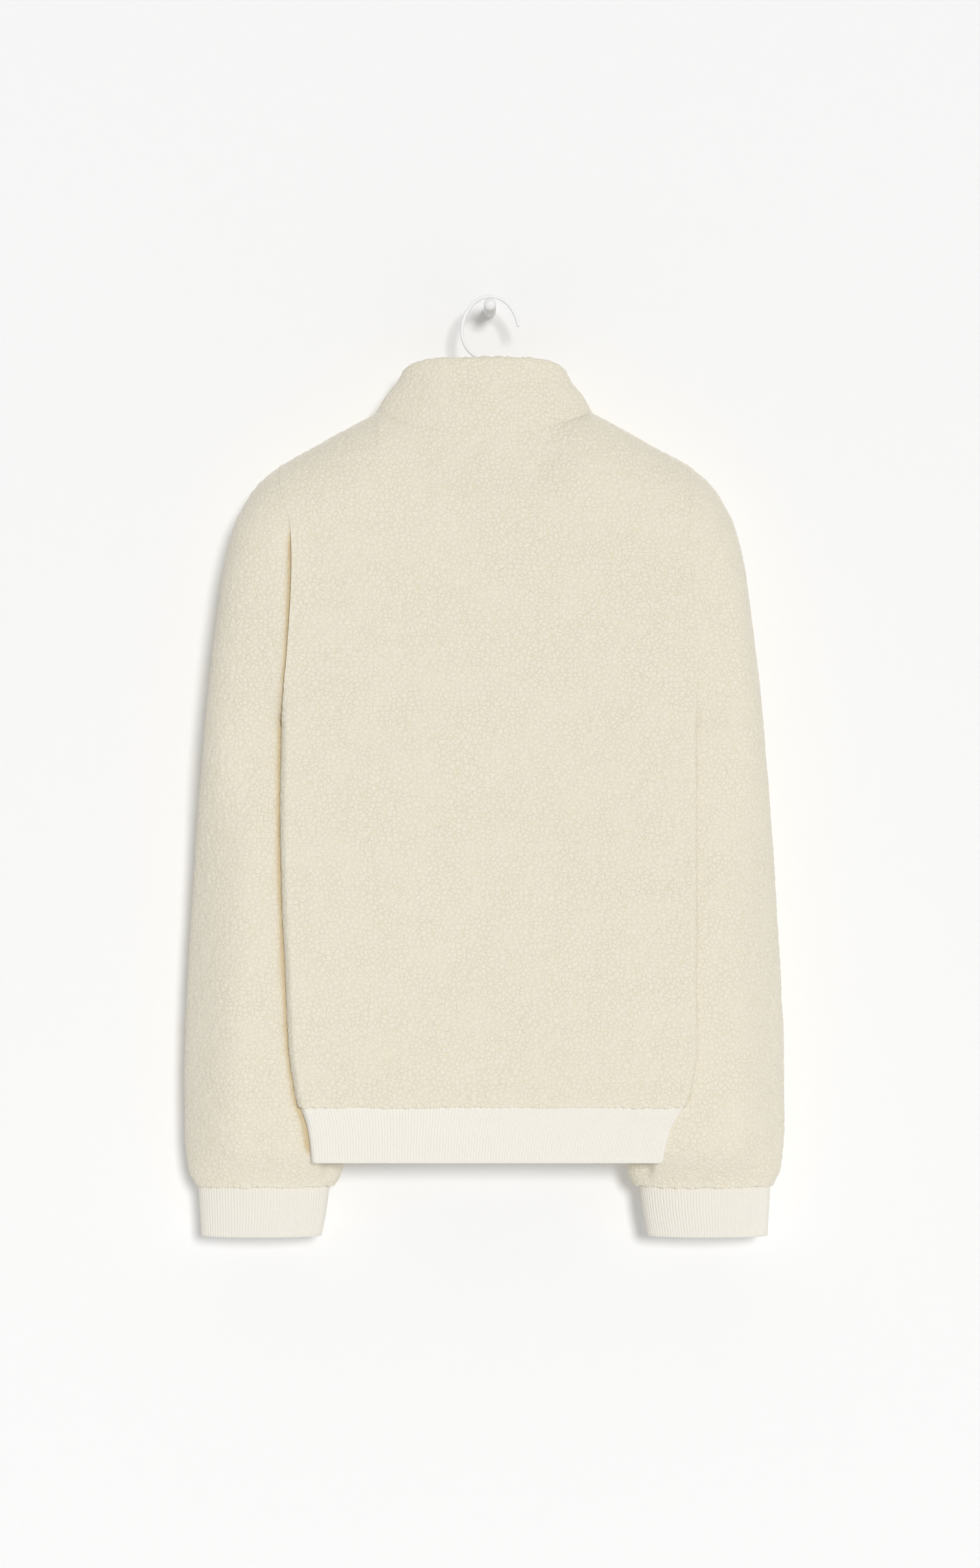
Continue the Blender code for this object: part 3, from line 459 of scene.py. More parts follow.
def back_depth(across, z, side):
    """The back is level and folds over at its sides, least on the right, beside a level sleeve."""
    level = body("back_y", z)
    seam_y = np.minimum(side_line("seam_y", z), level + FOLD_DEPTH[side])
    return side_fold(level, across, half_width(z, side), z, seam_y)


def front_depth(across, z, side):
    """The front lies flat, turns in beside the sleeve and ends as the thin flap over the sleeve."""
    half = half_width(z, side)
    above = rise(z, *FLAP_RISE)
    turn = np.minimum(sleeve(side_word(side) + "_inner", z), half) - TURN_CLEARANCE
    flap_y = side_line("flap_y", z)
    edge_y = flap_y + (SIDE_FRONT_Y - flap_y) * above
    level = body("front_y", z)
    share = (1 - np.cos(np.pi * np.clip((np.abs(across) * half - turn) / TURN_WIDTH, 0, 1))) / 2
    return side_fold(level + (edge_y - level) * share, across, half, z, side_line("seam_y", z))


def neck_height(across_neck, front):
    low = NECK_FRONT_Z if front else NECK_BACK_Z
    power = NECK_FRONT_POWER if front else NECK_BACK_POWER
    return low + (NECK_SIDE[1] - low) * np.abs(across_neck) ** power


def neck_depth(across_neck, front):
    reach = np.sqrt(np.clip(1 - across_neck**2, 0, 1))
    return RIDGE_Y + (NECK_FRONT_Y - RIDGE_Y) * reach if front else RIDGE_Y - NECK_HALF_DEPTH * reach


def panel_top(across, front):
    """Height and depth of a panel's upper edge, and how fully it turns over there."""
    x = np.abs(across) * SHOULDER_TIP[0]
    slope = (SHOULDER_TIP[1] - NECK_SIDE[1]) / (SHOULDER_TIP[0] - NECK_SIDE[0])
    at_neck = np.clip(x / NECK_SIDE[0], 0, 1)
    in_neck = x < NECK_SIDE[0]
    z = np.where(in_neck, neck_height(at_neck, front), NECK_SIDE[1] + (x - NECK_SIDE[0]) * slope)
    y = np.where(in_neck, neck_depth(at_neck, front), RIDGE_Y)
    turned = smooth_step((at_neck - NECK_TURN_SHARE) / (1 - NECK_TURN_SHARE))
    return z, y, NECK_TURN + SHOULDER_TURN_GAIN * turned


def front_places(across, edge_z, side):
    """Columns even along the cloth near the hem, and on the shoulder line's own columns near the top."""
    fine = np.linspace(across[0], 1, FINE_POINTS)
    shares = np.linspace(0, 1, len(across))
    places = []
    for z in edge_z[:, 0]:
        x = fine * float(half_width(z, side))
        length = np.hypot(np.diff(x), np.diff(front_depth(fine, z, side)))
        length = np.insert(np.cumsum(length), 0, 0)
        even = np.interp(shares, length / length[-1], fine)
        places.append(even + (across - even) * float(rise(z, *EVEN_RISE)))
    return np.array(places)


def panel_grid(across, rows, turn_rows, front, side):
    """One half of the back or front, rows from the hem up.

    Each column rises from the hem to the neck or shoulder seam. Its depth is the body's, rounded
    over to the shoulder line by a quarter of an ellipse in the last RIDGE_DEPTH of the height."""
    turn = RIDGE_DEPTH / (SHOULDER_TIP[1] - BODY_END_Z)
    angles = np.linspace(np.pi / 2, 0, turn_rows)
    low = np.linspace(0, 1 - turn, rows)[:-1]
    shares = np.concatenate([low, 1 - turn * (1 - np.cos(angles))])[:, None]
    top_z, top_y, power = panel_top(across, front)
    z = BODY_END_Z + (top_z - BODY_END_Z) * shares
    edge_z = BODY_END_Z + (SHOULDER_TIP[1] - BODY_END_Z) * shares
    edge = half_width(edge_z, side)
    near_tip = smooth_step((shares - (1 - SHOULDER_SHARE)) / SHOULDER_SHARE)
    edge = edge + (SHOULDER_TIP[0] - edge) * near_tip
    place = front_places(across, edge_z, side) if front else across + 0 * z
    flat = front_depth(place, z, side) if front else back_depth(place, z, side)
    y = top_y + (flat - top_y) * quarter_round((top_z - z) / RIDGE_DEPTH, power)
    return np.stack([place * edge, y + (GAP / 2 if front else -GAP / 2), z], axis=2)


def keep_to_own_side(outer, inner, front):
    """Stops the inner points short of the surface that the side and shoulder seams lie in."""
    z = inner[..., 2]
    seam_y = side_line("seam_y", z)
    middle = seam_y + (RIDGE_Y - seam_y) * rise(z, *SEAM_RISE)
    limit = middle + KEPT_SHARE * (outer[..., 1] - middle)
    inner[..., 1] = np.maximum(inner[..., 1], limit) if front else np.minimum(inner[..., 1], limit)
    return inner


# The rows and columns of a panel that lie flat
FLAT_ROWS = slice(10, -60)
FLAT_COLUMNS = slice(10, -40)
# Columns to the neck's side, to the edge or fold, and round it. Rows to the shoulder's turn, and in it
BACK_ACROSS = (64, 48, 17)
BACK_UP = (312, 54)
FRONT_ACROSS = (60, 68)
FRONT_UP = (236, 40)
NECK_SHARE = NECK_SIDE[0] / SHOULDER_TIP[0]
USUAL_HALF_WIDTH = 0.18
FOLD_PART = FOLD_REACH / USUAL_HALF_WIDTH
INNER_STEP = 6


def facing(grid, toward_wall):
    """Unit normals of a panel, towards the wall or away from it."""
    normals = grid_normals(grid, wrap=False)
    sign = np.sign(np.median(normals[FLAT_ROWS, FLAT_COLUMNS, 1]))
    return normals * sign * (1 if toward_wall else -1)


def back_grid():
    """Both halves of the back, from the left side seam to the right one."""
    to_neck, to_fold, round_fold = BACK_ACROSS
    inside = np.linspace(0, NECK_SHARE, to_neck)
    flat = np.linspace(NECK_SHARE, 1 - FOLD_PART, to_fold)
    fold = 1 - FOLD_PART * (1 - np.sin(np.linspace(0, np.pi / 2, round_fold)))
    across = np.concatenate([inside, flat[1:], fold[1:]])
    left, right = (placed_x(panel_grid(across, *BACK_UP, False, side), side) for side in (-1, 1))
    return np.hstack([left[:, :0:-1], right])


def front_grid(side):
    """One front, from the zip to its side seam."""
    to_neck, to_side = FRONT_ACROSS
    inside = np.linspace(ZIP_HALF_WIDTH / SHOULDER_TIP[0], NECK_SHARE, to_neck)
    across = np.concatenate([inside, np.linspace(NECK_SHARE, 1, to_side)[1:]])
    grid = panel_grid(across, *FRONT_UP, True, side)
    grid[:, 0, 0] = ZIP_HALF_WIDTH
    return placed_x(grid, side)


def make_panel(node, grid, front, material):
    """The pile over a panel's grid, and the wall. A front's edge at the zip stays straight."""
    normals = facing(grid, toward_wall=front)
    outer, height = raise_pile(grid, normals, ("start",) if front else ())
    outer = loosen_edge(outer, height, "bottom", -1)
    rows, columns = some(grid.shape[0], INNER_STEP), some(grid.shape[1], INNER_STEP)
    coarse = grid[rows][:, columns]
    inner = (grid - PILE_WALL * normals)[rows][:, columns]
    if front:
        outer[:, 0, 0] = grid[:, 0, 0]
        inner[:, 0, 0] = coarse[:, 0, 0]
    inner = keep_to_own_side(coarse, inner, front)
    piece = cloth_wall(f"{node}_sherpa", outer, inner, False, pile=height)
    return finish_piece(piece, material, node)


# The sleeves
def oval(share, inner, outer, back_y, front_y):
    """Points of a flattened ring. Share 0 is the inner edge, 0.5 the outer one, by way of the back."""
    angle = 2 * np.pi * share
    middle = (back_y + front_y) / 2
    reach = np.abs(np.sin(angle)) ** (2 / OVAL_POWER) * np.sign(np.sin(angle))
    return inner + (outer - inner) * (1 - np.cos(angle)) / 2, middle - (front_y - back_y) / 2 * reach


def sleeve_rings(share, z, side):
    """Level rings of the sleeve at several heights."""
    names = (side_word(side) + "_inner", *SLEEVE_COLUMNS[3:])
    x, y = oval(share, *(sleeve(name, z)[:, None] for name in names))
    return np.stack([x, y, z[:, None] + 0 * x], axis=-1)


# The cloth of a sleeve beside the body: how much deeper than the back it lies, by side, how far
# under the edge it starts and is drawn in, where it has risen, where it thins, and where it ends
BESIDE_DEPTH = {-1: 0.0105, 1: 0.0050}
BESIDE_RISE = (-0.010, 0.030)
BACK_STEEPNESS = 2.2
UNDER_EDGE = 0.010
DRAWN_IN = 0.025
RISEN = (0.004, 0.008)
THINNING = 0.055
LOW_END = (-0.742, 0.040)


def beside_body(rings, share, side):
    """The sleeve comes out from under the body's edge, and thins to its outer edge and the cuff."""
    x, y, z = np.moveaxis(rings, -1, 0)
    edge = half_width(z, side)
    inner_x = x[:, :1]
    reach = np.clip(np.sin(2 * np.pi * share), 0, 1) ** (2 / OVAL_POWER)
    on_back = smooth_step(BACK_STEEPNESS * reach) * (1 - rise(z, *BESIDE_RISE))
    low = 1 - smooth_step((LOW_END[0] - z) / LOW_END[1])
    drawn = np.clip(inner_x - edge + UNDER_EDGE, 0, 1) * on_back
    x = x - drawn * (1 - smooth_step((x - inner_x) / DRAWN_IN))
    past = smooth_step((x - edge + UNDER_EDGE + RISEN[0]) / RISEN[1])
    out = smooth_step((sleeve("outer", np.minimum(z, SLEEVE_ROWS[0][0])) - x) / THINNING)
    target = body("back_y", z) + BESIDE_DEPTH[side]
    return np.stack([x, y + np.minimum(target - y, 0) * past * out * low * on_back, z], axis=-1)


SEAM_START = 0.03
TIP_MARGIN = 0.001
TIP_BLEND = 0.06


def armhole_ring(share, side):
    """The armhole seam: from the armpit up the back to the shoulder, and down the front."""
    angle = 2 * np.pi * share
    z = ARMPIT_Z + (SLEEVE_TIP_Z - ARMPIT_Z) * (1 - np.cos(angle)) / 2
    on_back = smooth_step(share / SEAM_START) * (share <= 0.5)
    flat = front_depth(1.0, z, side) * (1 - on_back) + back_depth(1.0, z, side) * on_back
    y = RIDGE_Y + (flat - RIDGE_Y) * quarter_round((SHOULDER_TIP[1] - TIP_MARGIN - z) / RIDGE_DEPTH)
    edge = half_width(z, side)
    edge = edge + (SHOULDER_TIP[0] - edge) * smooth_step((z - SHOULDER_TIP[1] + TIP_BLEND) / TIP_BLEND)
    return np.stack([edge, y, z], axis=-1)


def cap_outline(t):
    """The sleeve's outer edge from the shoulder to under the armpit, by share of its length."""
    rows = np.array(CAP_ROWS)
    length = np.insert(np.cumsum(np.hypot(*np.diff(rows, axis=0).T)), 0, 0)
    return np.stack([smooth_through(length, rows[:, i], t * length[-1]) for i in (0, 1)], axis=-1)


SLEEVE_POINTS = 208
CAP_RINGS = 134
CAP_POWER = 1.15
LOW_RINGS = 222


def sleeve_grid(side):
    """Rings from the armhole seam to a level oval, pushed out to the cap's outline, then level ovals."""
    share = np.arange(SLEEVE_POINTS) / SLEEVE_POINTS
    start = armhole_ring(share, side)
    low_z = SLEEVE_ROWS[0][0]
    end = sleeve_rings(share, np.array([low_z]), side)[0]
    t = (np.linspace(0, 1, CAP_RINGS) ** CAP_POWER)[:, None, None]
    rings = start + (end - start) * t
    top = rings[:, SLEEVE_POINTS // 2]
    push = np.zeros_like(top)
    push[:, (0, 2)] = cap_outline(t[:, 0, 0]) - top[:, (0, 2)]
    bulge = ((1 - np.cos(2 * np.pi * share)) / 2)[None, :, None]
    cap = rings + bulge * push[:, None, :]
    low = sleeve_rings(share, np.linspace(low_z, CUFF_TOP_Z, LOW_RINGS)[1:], side)
    return placed_x(beside_body(np.concatenate([cap, low]), share, side), side)


# The groove beside the body's edge: its ends, the bells that make its section, and its strength
GROOVE_TOP_Z = -0.178
GROOVE_ENDS = (0.05, 0.015)
GROOVE_WIDTHS = (0.0075, 0.0025)
GROOVE_DEPTH = 0.0050
GROOVE_LEAST = 0.6
GROOVE_RISE = (-0.02, 0.05)
# GROOVE_SHADE lowers the pile attribute in the groove, where the sherpa paints a tan shade
GROOVE_SHADE = 0.0045
GROOVE_SHARE = {-1: 1.0, 1: 0.12}
# The lip under the armhole seam, and the wall near the armpit
LIP_SINK = 0.0010
LIP_REACH = 0.0030
ARMPIT_THIN = 0.9
ARMPIT_REACH = 0.022


def groove(grid, side):
    """1 at the body's edge and 0 away from it: the mean of a wide bell and a narrow one."""
    x, y, z = side * (grid[..., 0] - CENTRE_X), grid[..., 1], grid[..., 2]
    away = x - half_width(z, side)
    start = smooth_step((GROOVE_TOP_Z - z) / GROOVE_ENDS[0])
    along = start * smooth_step((z - HEM_END_Z) / GROOVE_ENDS[1]) * (y < RIDGE_Y)
    bells = sum(np.exp(-((away / width) ** 2)) for width in GROOVE_WIDTHS)
    return GROOVE_SHARE[side] * bells / 2 * along


def make_sleeve(material, side):
    grid = sleeve_grid(side)
    normals = outward(grid, grid_normals(grid, wrap=True))
    outer, height = raise_pile(grid, normals, ())
    tucked = groove(grid, side)
    sink = GROOVE_DEPTH * tucked * (GROOVE_LEAST + (1 - GROOVE_LEAST) * rise(grid[..., 2], *GROOVE_RISE))
    outer = loosen_edge(outer - normals * sink[..., None], height, "top", -1)
    # Painted shade: the groove's lowered pile attribute colours the sherpa tan there
    height = height - GROOVE_SHADE * tucked
    lip = outer[:1] - LIP_SINK * normals[:1] - np.array([side * LIP_REACH, 0, 0])
    outer = np.concatenate([lip, outer])
    height = np.concatenate([height[:1], height])
    rows, columns = some(grid.shape[0], INNER_STEP), np.arange(0, grid.shape[1], INNER_STEP)
    from_armpit = np.linalg.norm(grid - grid[0, 0], axis=-1)
    wall = PILE_WALL * (1 - ARMPIT_THIN * np.exp(-((from_armpit / ARMPIT_REACH) ** 2)))
    inner = (grid - wall[..., None] * normals)[rows][:, columns]
    node = f"sleeve_{side_word(side)}"
    piece = cloth_wall(f"{node}_sherpa", outer, inner, True, pile=height)
    return finish_piece(piece, material, node)


# The collar
COLLAR_POINTS = 300
COLLAR_UP = 54
COLLAR_CORNER_POWER = 8
COLLAR_LEAN = 0.3
COLLAR_RIM = 0.0042
COLLAR_RIM_STEP = 0.0002


def collar_grid(angles, shares):
    """A band from zip to zip. Angle 0 is the middle of the back, share 0 the neck seam and 1 the top."""
    angle, share = np.meshgrid(angles, shares)
    wide = column(COLLAR_ROWS, COLLAR_COLUMNS, "half_width", share)
    deep = column(COLLAR_ROWS, COLLAR_COLUMNS, "half_depth", share)
    across = np.sin(angle)
    front = np.cos(angle) < 0
    low = np.where(front, neck_height(across, True), neck_height(across, False))
    corner = COLLAR_CORNER_DROP * np.abs(across) ** COLLAR_CORNER_POWER
    high = COLLAR_TOP_Z - corner - COLLAR_FRONT_DROP * smooth_step(-np.cos(angle))
    depth = np.where(front, NECK_FRONT_Y - RIDGE_Y, deep)
    y = RIDGE_Y - depth * np.cos(angle)
    return np.stack([wide * across, y, low + (high - low) * share], axis=-1)


def make_collar(material):
    start = math.pi - math.asin(ZIP_HALF_WIDTH / NECK_SIDE[0])
    grid = collar_grid(np.linspace(start, -start, COLLAR_POINTS), np.linspace(0, 1, COLLAR_UP))
    grid[:, 0, 0] = ZIP_HALF_WIDTH
    grid[:, -1, 0] = -ZIP_HALF_WIDTH
    grid = placed_x(grid, 1)
    normals = outward(grid, grid_normals(grid, wrap=False))
    normals[..., 2] *= COLLAR_LEAN
    normals /= np.linalg.norm(normals, axis=2, keepdims=True)
    middle = grid - normals * PILE_WALL / 2
    from_top = seam_distance(grid, ("top",))
    half = PILE_WALL / 2 * np.sqrt(1 - np.clip(1 - from_top / COLLAR_RIM, 0, 1) ** 2)
    outer, height = raise_pile(middle + normals * half[..., None], normals, ())
    inner, inner_height = raise_pile(middle - normals * half[..., None], -normals, ())
    outer = loosen_edge(outer, height, "top", 1)
    inner = loosen_edge(inner, inner_height, "top", 1)
    for surface in (outer, inner):
        surface[:, (0, -1), 0] = grid[:, (0, -1), 0]
    inner[-1] = outer[-1] - normals[-1] * COLLAR_RIM_STEP
    piece = cloth_wall("collar_sherpa", outer, inner, False, pile=height)
    return finish_piece(piece, material, "collar")


# Rib knit
def line_normals(line, wrap):
    along = np.roll(line, -1, axis=0) - np.roll(line, 1, axis=0) if wrap else np.gradient(line, axis=0)
    normals = np.stack([along[:, 1], -along[:, 0], 0 * along[:, 0]], axis=1)
    return normals / np.linalg.norm(normals, axis=1, keepdims=True)


def resampled(line, count):
    """Points evenly along a polyline."""
    length = np.insert(np.cumsum(np.linalg.norm(np.diff(line, axis=0), axis=1)), 0, 0)
    at = np.linspace(0, length[-1], count)
    return np.stack([np.interp(at, length, line[:, i]) for i in range(3)], axis=1)


OUTLINE_POINTS = 300
OVAL_POINTS = 360


def hem_line(z):
    """The body's outline at a height, from the zip round the left side and the back to the zip."""
    parts = []
    for side in (-1, 1):
        half = float(half_width(z, side))
        over_front = np.linspace(ZIP_HALF_WIDTH / half, 1, OUTLINE_POINTS)
        over_back = np.sin(np.linspace(math.pi / 2, 0, OUTLINE_POINTS))
        front, back = (
            np.stack([CENTRE_X + side * across * half, depth(across, z, side), z + 0 * across], axis=1)
            for across, depth in ((over_front, front_depth), (over_back, back_depth))
        )
        line = np.concatenate([front, back[1:]])
        parts.append(line if side < 0 else line[::-1][1:])
    return np.concatenate(parts)


POINTS_A_RIB = 4
RIM_ROWS = 5
RIM_HEIGHT = 0.0007
RIB_TUCK = 0.0030
RIB_THICKNESS = RIB_WALL + RIB_HEIGHT * 0.6
INNER_LEVELS = 6
HEM_INSET = 0.002
HEM_UP = 17
CUFF_UP = 16


def ribbed_grid(line_at, heights, ribs, wrap):
    """Rows down the knit, then round the folded edge to the inside.

    Each rib is half round across: it falls from its crown as a circle does, by RIB_HEIGHT."""
    count = ribs * POINTS_A_RIB + (0 if wrap else 1)
    place = (np.arange(count) % POINTS_A_RIB) / POINTS_A_RIB
    groove = RIB_HEIGHT * (1 - np.sqrt(np.clip(1 - (2 * place - 1) ** 2, 0, 1)))
    rows = []
    for z in heights:
        line = resampled(line_at(z), count + 1)[:count] if wrap else resampled(line_at(z), count)
        rows.append(line - line_normals(line, wrap) * groove[:, None])
    last = rows[-1]
    normals = line_normals(last, wrap)
    radius = RIB_THICKNESS / 2
    for angle in np.linspace(0, math.pi, RIM_ROWS)[1:]:
        sunk = last - normals * radius * (1 - math.cos(angle))
        rows.append(sunk - np.array([0, 0, RIM_HEIGHT * math.sin(angle)]))
    return np.array(rows)


def make_rib(name, node, line_at, top, end, rows, wrap, material):
    """A knit of even ribs from its seam to its folded edge, with a plain inside."""
    length = np.linalg.norm(np.diff(line_at(top), axis=0), axis=1).sum()
    heights = np.linspace(top + RIB_TUCK, end + RIM_HEIGHT, rows)
    outer = ribbed_grid(line_at, heights, int(length / RIB_PITCH), wrap)
    every = 2 * POINTS_A_RIB
    across = np.arange(0, outer.shape[1], every) if wrap else some(outer.shape[1], every)
    levels = np.linspace(rows - 1, 0, INNER_LEVELS).astype(int)
    normals = np.array([line_normals(row, wrap) for row in outer[levels]])
    inner = (outer[levels] - normals * RIB_THICKNESS)[:, across]
    piece = cloth_wall(name, outer[::-1], inner, wrap)
    return finish_piece(piece, material, node)


def make_hem(material):
    def line_at(z):
        line = hem_line(z)
        return line - line_normals(line, False) * HEM_INSET

    return make_rib("hem_knit", "hem_rib", line_at, BODY_END_Z, HEM_END_Z, HEM_UP, False, material)


def make_cuff(material, side):
    def line_at(z):
        sizes = [float(column(CUFF_ROWS, CUFF_COLUMNS, wanted, z)) for wanted in CUFF_COLUMNS[1:]]
        x, y = oval(np.arange(OVAL_POINTS + 1) / OVAL_POINTS, *sizes)
        line = placed_x(np.stack([x, y, z + 0 * x], axis=1), side)
        return line if side > 0 else line[::-1]

    node = f"cuff_{side_word(side)}"
    return make_rib(f"{node}_knit", node, line_at, CUFF_TOP_Z, CUFF_END_Z, CUFF_UP, True, material)


# The zip's teeth
def zip_surface_y(z):
    """The garment's front surface along the zip."""
    z = np.asarray(z, float)
    flat = body("front_y", z)
    turned = quarter_round((NECK_FRONT_Z - z) / RIDGE_DEPTH, NECK_TURN)
    low = NECK_FRONT_Y + (flat - NECK_FRONT_Y) * turned
    return np.where(z > NECK_FRONT_Z, NECK_FRONT_Y, low)


TOOTH_PITCH = 0.0026
TOOTH_SIZE = (0.0031, 0.0022, 0.0011)
TOOTH_TAPER = 0.7
TOOTH_OFFSET = 0.0009
TOOTH_FACES = ((0, 1, 3, 2), (4, 6, 7, 5), (0, 4, 5, 1), (2, 3, 7, 6), (0, 2, 6, 4), (1, 5, 7, 3))
TEETH_OVER_HEM = 0.002
TEETH_UNDER_TOP = 0.003


def make_teeth(material):
    """Two rows of small blocks with sloped ends, each row half a pitch above the other."""
    corner = np.array(list(itertools.product((-0.5, 0.5), repeat=3)))
    shape = corner * np.array(TOOTH_SIZE)
    shape[:, 2] *= np.where(corner[:, 0] > 0, 1.0, TOOTH_TAPER)
    top = COLLAR_TOP_Z - COLLAR_FRONT_DROP - TEETH_UNDER_TOP
    points = []
    for side in (-1, 1):
        raised = TOOTH_PITCH / 2 if side > 0 else 0
        z = np.arange(HEM_END_Z + TEETH_OVER_HEM, top, TOOTH_PITCH) + raised
        y = zip_surface_y(z) - TAPE_INSET - TAPE_THICKNESS / 2
        middles = np.stack([CENTRE_X + side * TOOTH_OFFSET + 0 * z, y, z], axis=1)
        points.append((middles[:, None, :] + shape * np.array([-side, 1, 1])).reshape(-1, 3))
    points = np.concatenate(points)
    first = len(shape) * np.arange(len(points) // len(shape))
    quads = (np.array(TOOTH_FACES)[None] + first[:, None, None]).reshape(-1, 4)
    piece = make_mesh("zip_teeth", points, quads)
    return finish_piece(piece, material, "zip_chain")


# The hanger, the hook and the peg
END_RINGS = 7
RING_STEP = 0.8
TIP_LEAST = 1e-6


def tube(name, path, radius, around):
    """A circle carried along a path in a plane of constant depth, closed by round ends."""
    path = np.array(path)
    length = np.insert(np.cumsum(np.linalg.norm(np.diff(path, axis=0), axis=1)), 0, 0)
    ends = radius * (1 - np.cos(np.linspace(0, np.pi / 2, END_RINGS)))
    between = np.arange(radius, length[-1] - radius, radius * RING_STEP)[1:]
    at = np.concatenate([ends, between, length[-1] - ends[::-1]])
    line = np.stack([smooth_through(length, path[:, i], at) for i in range(3)], axis=1)
    along = np.gradient(line, axis=0)
    along /= np.linalg.norm(along, axis=1, keepdims=True)
    depth = np.array([0.0, 1.0, 0.0])
    aside = np.cross(along, depth)
    near_end = np.clip(np.minimum(at, length[-1] - at) / radius, 0, 1)
    wide = radius * np.sqrt(np.clip(1 - (1 - near_end) ** 2, TIP_LEAST, 1))
    angle = 2 * np.pi * np.arange(around) / around
    ring = np.cos(angle)[None, :, None] * aside[:, None, :] + np.sin(angle)[None, :, None] * depth
    grid = line[:, None, :] + ring * wide[:, None, None]
    return closed_tube(name, grid)


def closed_tube(name, grid):
    """Closes a tube of rings by a point in the middle of its first and last ring."""
    wrapped = numbered(grid, wrap=True)
    count = grid[..., 0].size
    tips = [grid[end].mean(axis=0)[None] for end in (0, -1)]
    points = np.concatenate([grid.reshape(-1, 3), *tips])
    fans = [np.stack([row[:-1], row[1:], np.full(grid.shape[1], tip)], axis=1)
            for row, tip in ((wrapped[0], count), (wrapped[-1], count + 1))]
    return make_mesh(name, points, cell_quads(wrapped), np.concatenate(fans))


ARM_SHARES = (0.82, 0.68, 0.52, 0.36, 0.18, 0.05)
BEND_SHARES = (0.3, 0.6, 0.85)
# First and last angle of the hook's arc, and its points
HOOK_ANGLES = (8, 238, 27)
HOOK_STEM = ((-0.0085, -0.0500), (-0.0058, -0.0545), (CENTRE_X, -0.0600))


def hanger_path():
    """Arms that lie just under the shoulder seams and meet in the middle of the neck."""
    run = SHOULDER_TIP[0] - NECK_SIDE[0]
    drop = NECK_SIDE[1] - SHOULDER_TIP[1]
    slope = math.atan2(drop, run)
    under = PILE_WALL + HANGER_RADIUS + HANGER_CLEARANCE
    right = []
    for share in ARM_SHARES:
        x = NECK_SIDE[0] + run * share - under * math.sin(slope)
        right.append((x, NECK_SIDE[1] - drop * share - under * math.cos(slope)))
    end = right[-1]
    for share in BEND_SHARES:
        sunk = (HANGER_CENTRE_Z - end[1]) * float(smooth_step(share))
        right.append((end[0] * (1 - share), end[1] + sunk))
    line = [*right, (0.0, HANGER_CENTRE_Z), *((-x, z) for x, z in right[::-1])]
    return [(CENTRE_X + x, RIDGE_Y, z) for x, z in line]


def hook_path():
    """From the open tip over the peg, round the far side and down into the stem."""
    upper = PEG_RADIUS + GAP + WIRE_RADIUS - HOOK_CENTRE[1]
    line = []
    for angle in np.radians(np.linspace(*HOOK_ANGLES)):
        tall = upper if math.sin(angle) > 0 else HOOK_LOWER_HALF
        x = HOOK_CENTRE[0] + HOOK_HALF_WIDTH * math.cos(angle)
        line.append((x, HOOK_CENTRE[1] + tall * math.sin(angle)))
    line += [*HOOK_STEM, (CENTRE_X, HANGER_CENTRE_Z + HANGER_RADIUS + GAP)]
    return [(x, RIDGE_Y, z) for x, z in line]


PEG_REAR = ((0.999, 0.0), (1.0, 0.002))
PEG_DOME_SHARE = 0.6
PEG_TIP_RADIUS = 1e-5
PEG_DOME_RINGS = 12
PEG_AROUND = 48


def make_peg(material):
    """A profile turned about the Y axis: a flat rear, a straight side and a domed front."""
    dome = np.linspace(0, np.pi / 2, PEG_DOME_RINGS)[:-1]
    rear = np.array(PEG_REAR)
    radii = np.concatenate([PEG_RADIUS * rear[:, 0], PEG_RADIUS * np.cos(dome), [PEG_TIP_RADIUS]])
    domed = PEG_LENGTH - PEG_DOME_SHARE * PEG_RADIUS * (1 - np.sin(dome))
    out = np.concatenate([rear[:, 1], domed, [PEG_LENGTH]])
    angle = 2 * np.pi * np.arange(PEG_AROUND) / PEG_AROUND
    x = radii[:, None] * np.cos(angle)
    z = radii[:, None] * np.sin(angle)
    piece = closed_tube("peg_turned", np.stack([x, -out[:, None] + 0 * x, z], axis=-1))
    return finish_piece(piece, material, "peg")


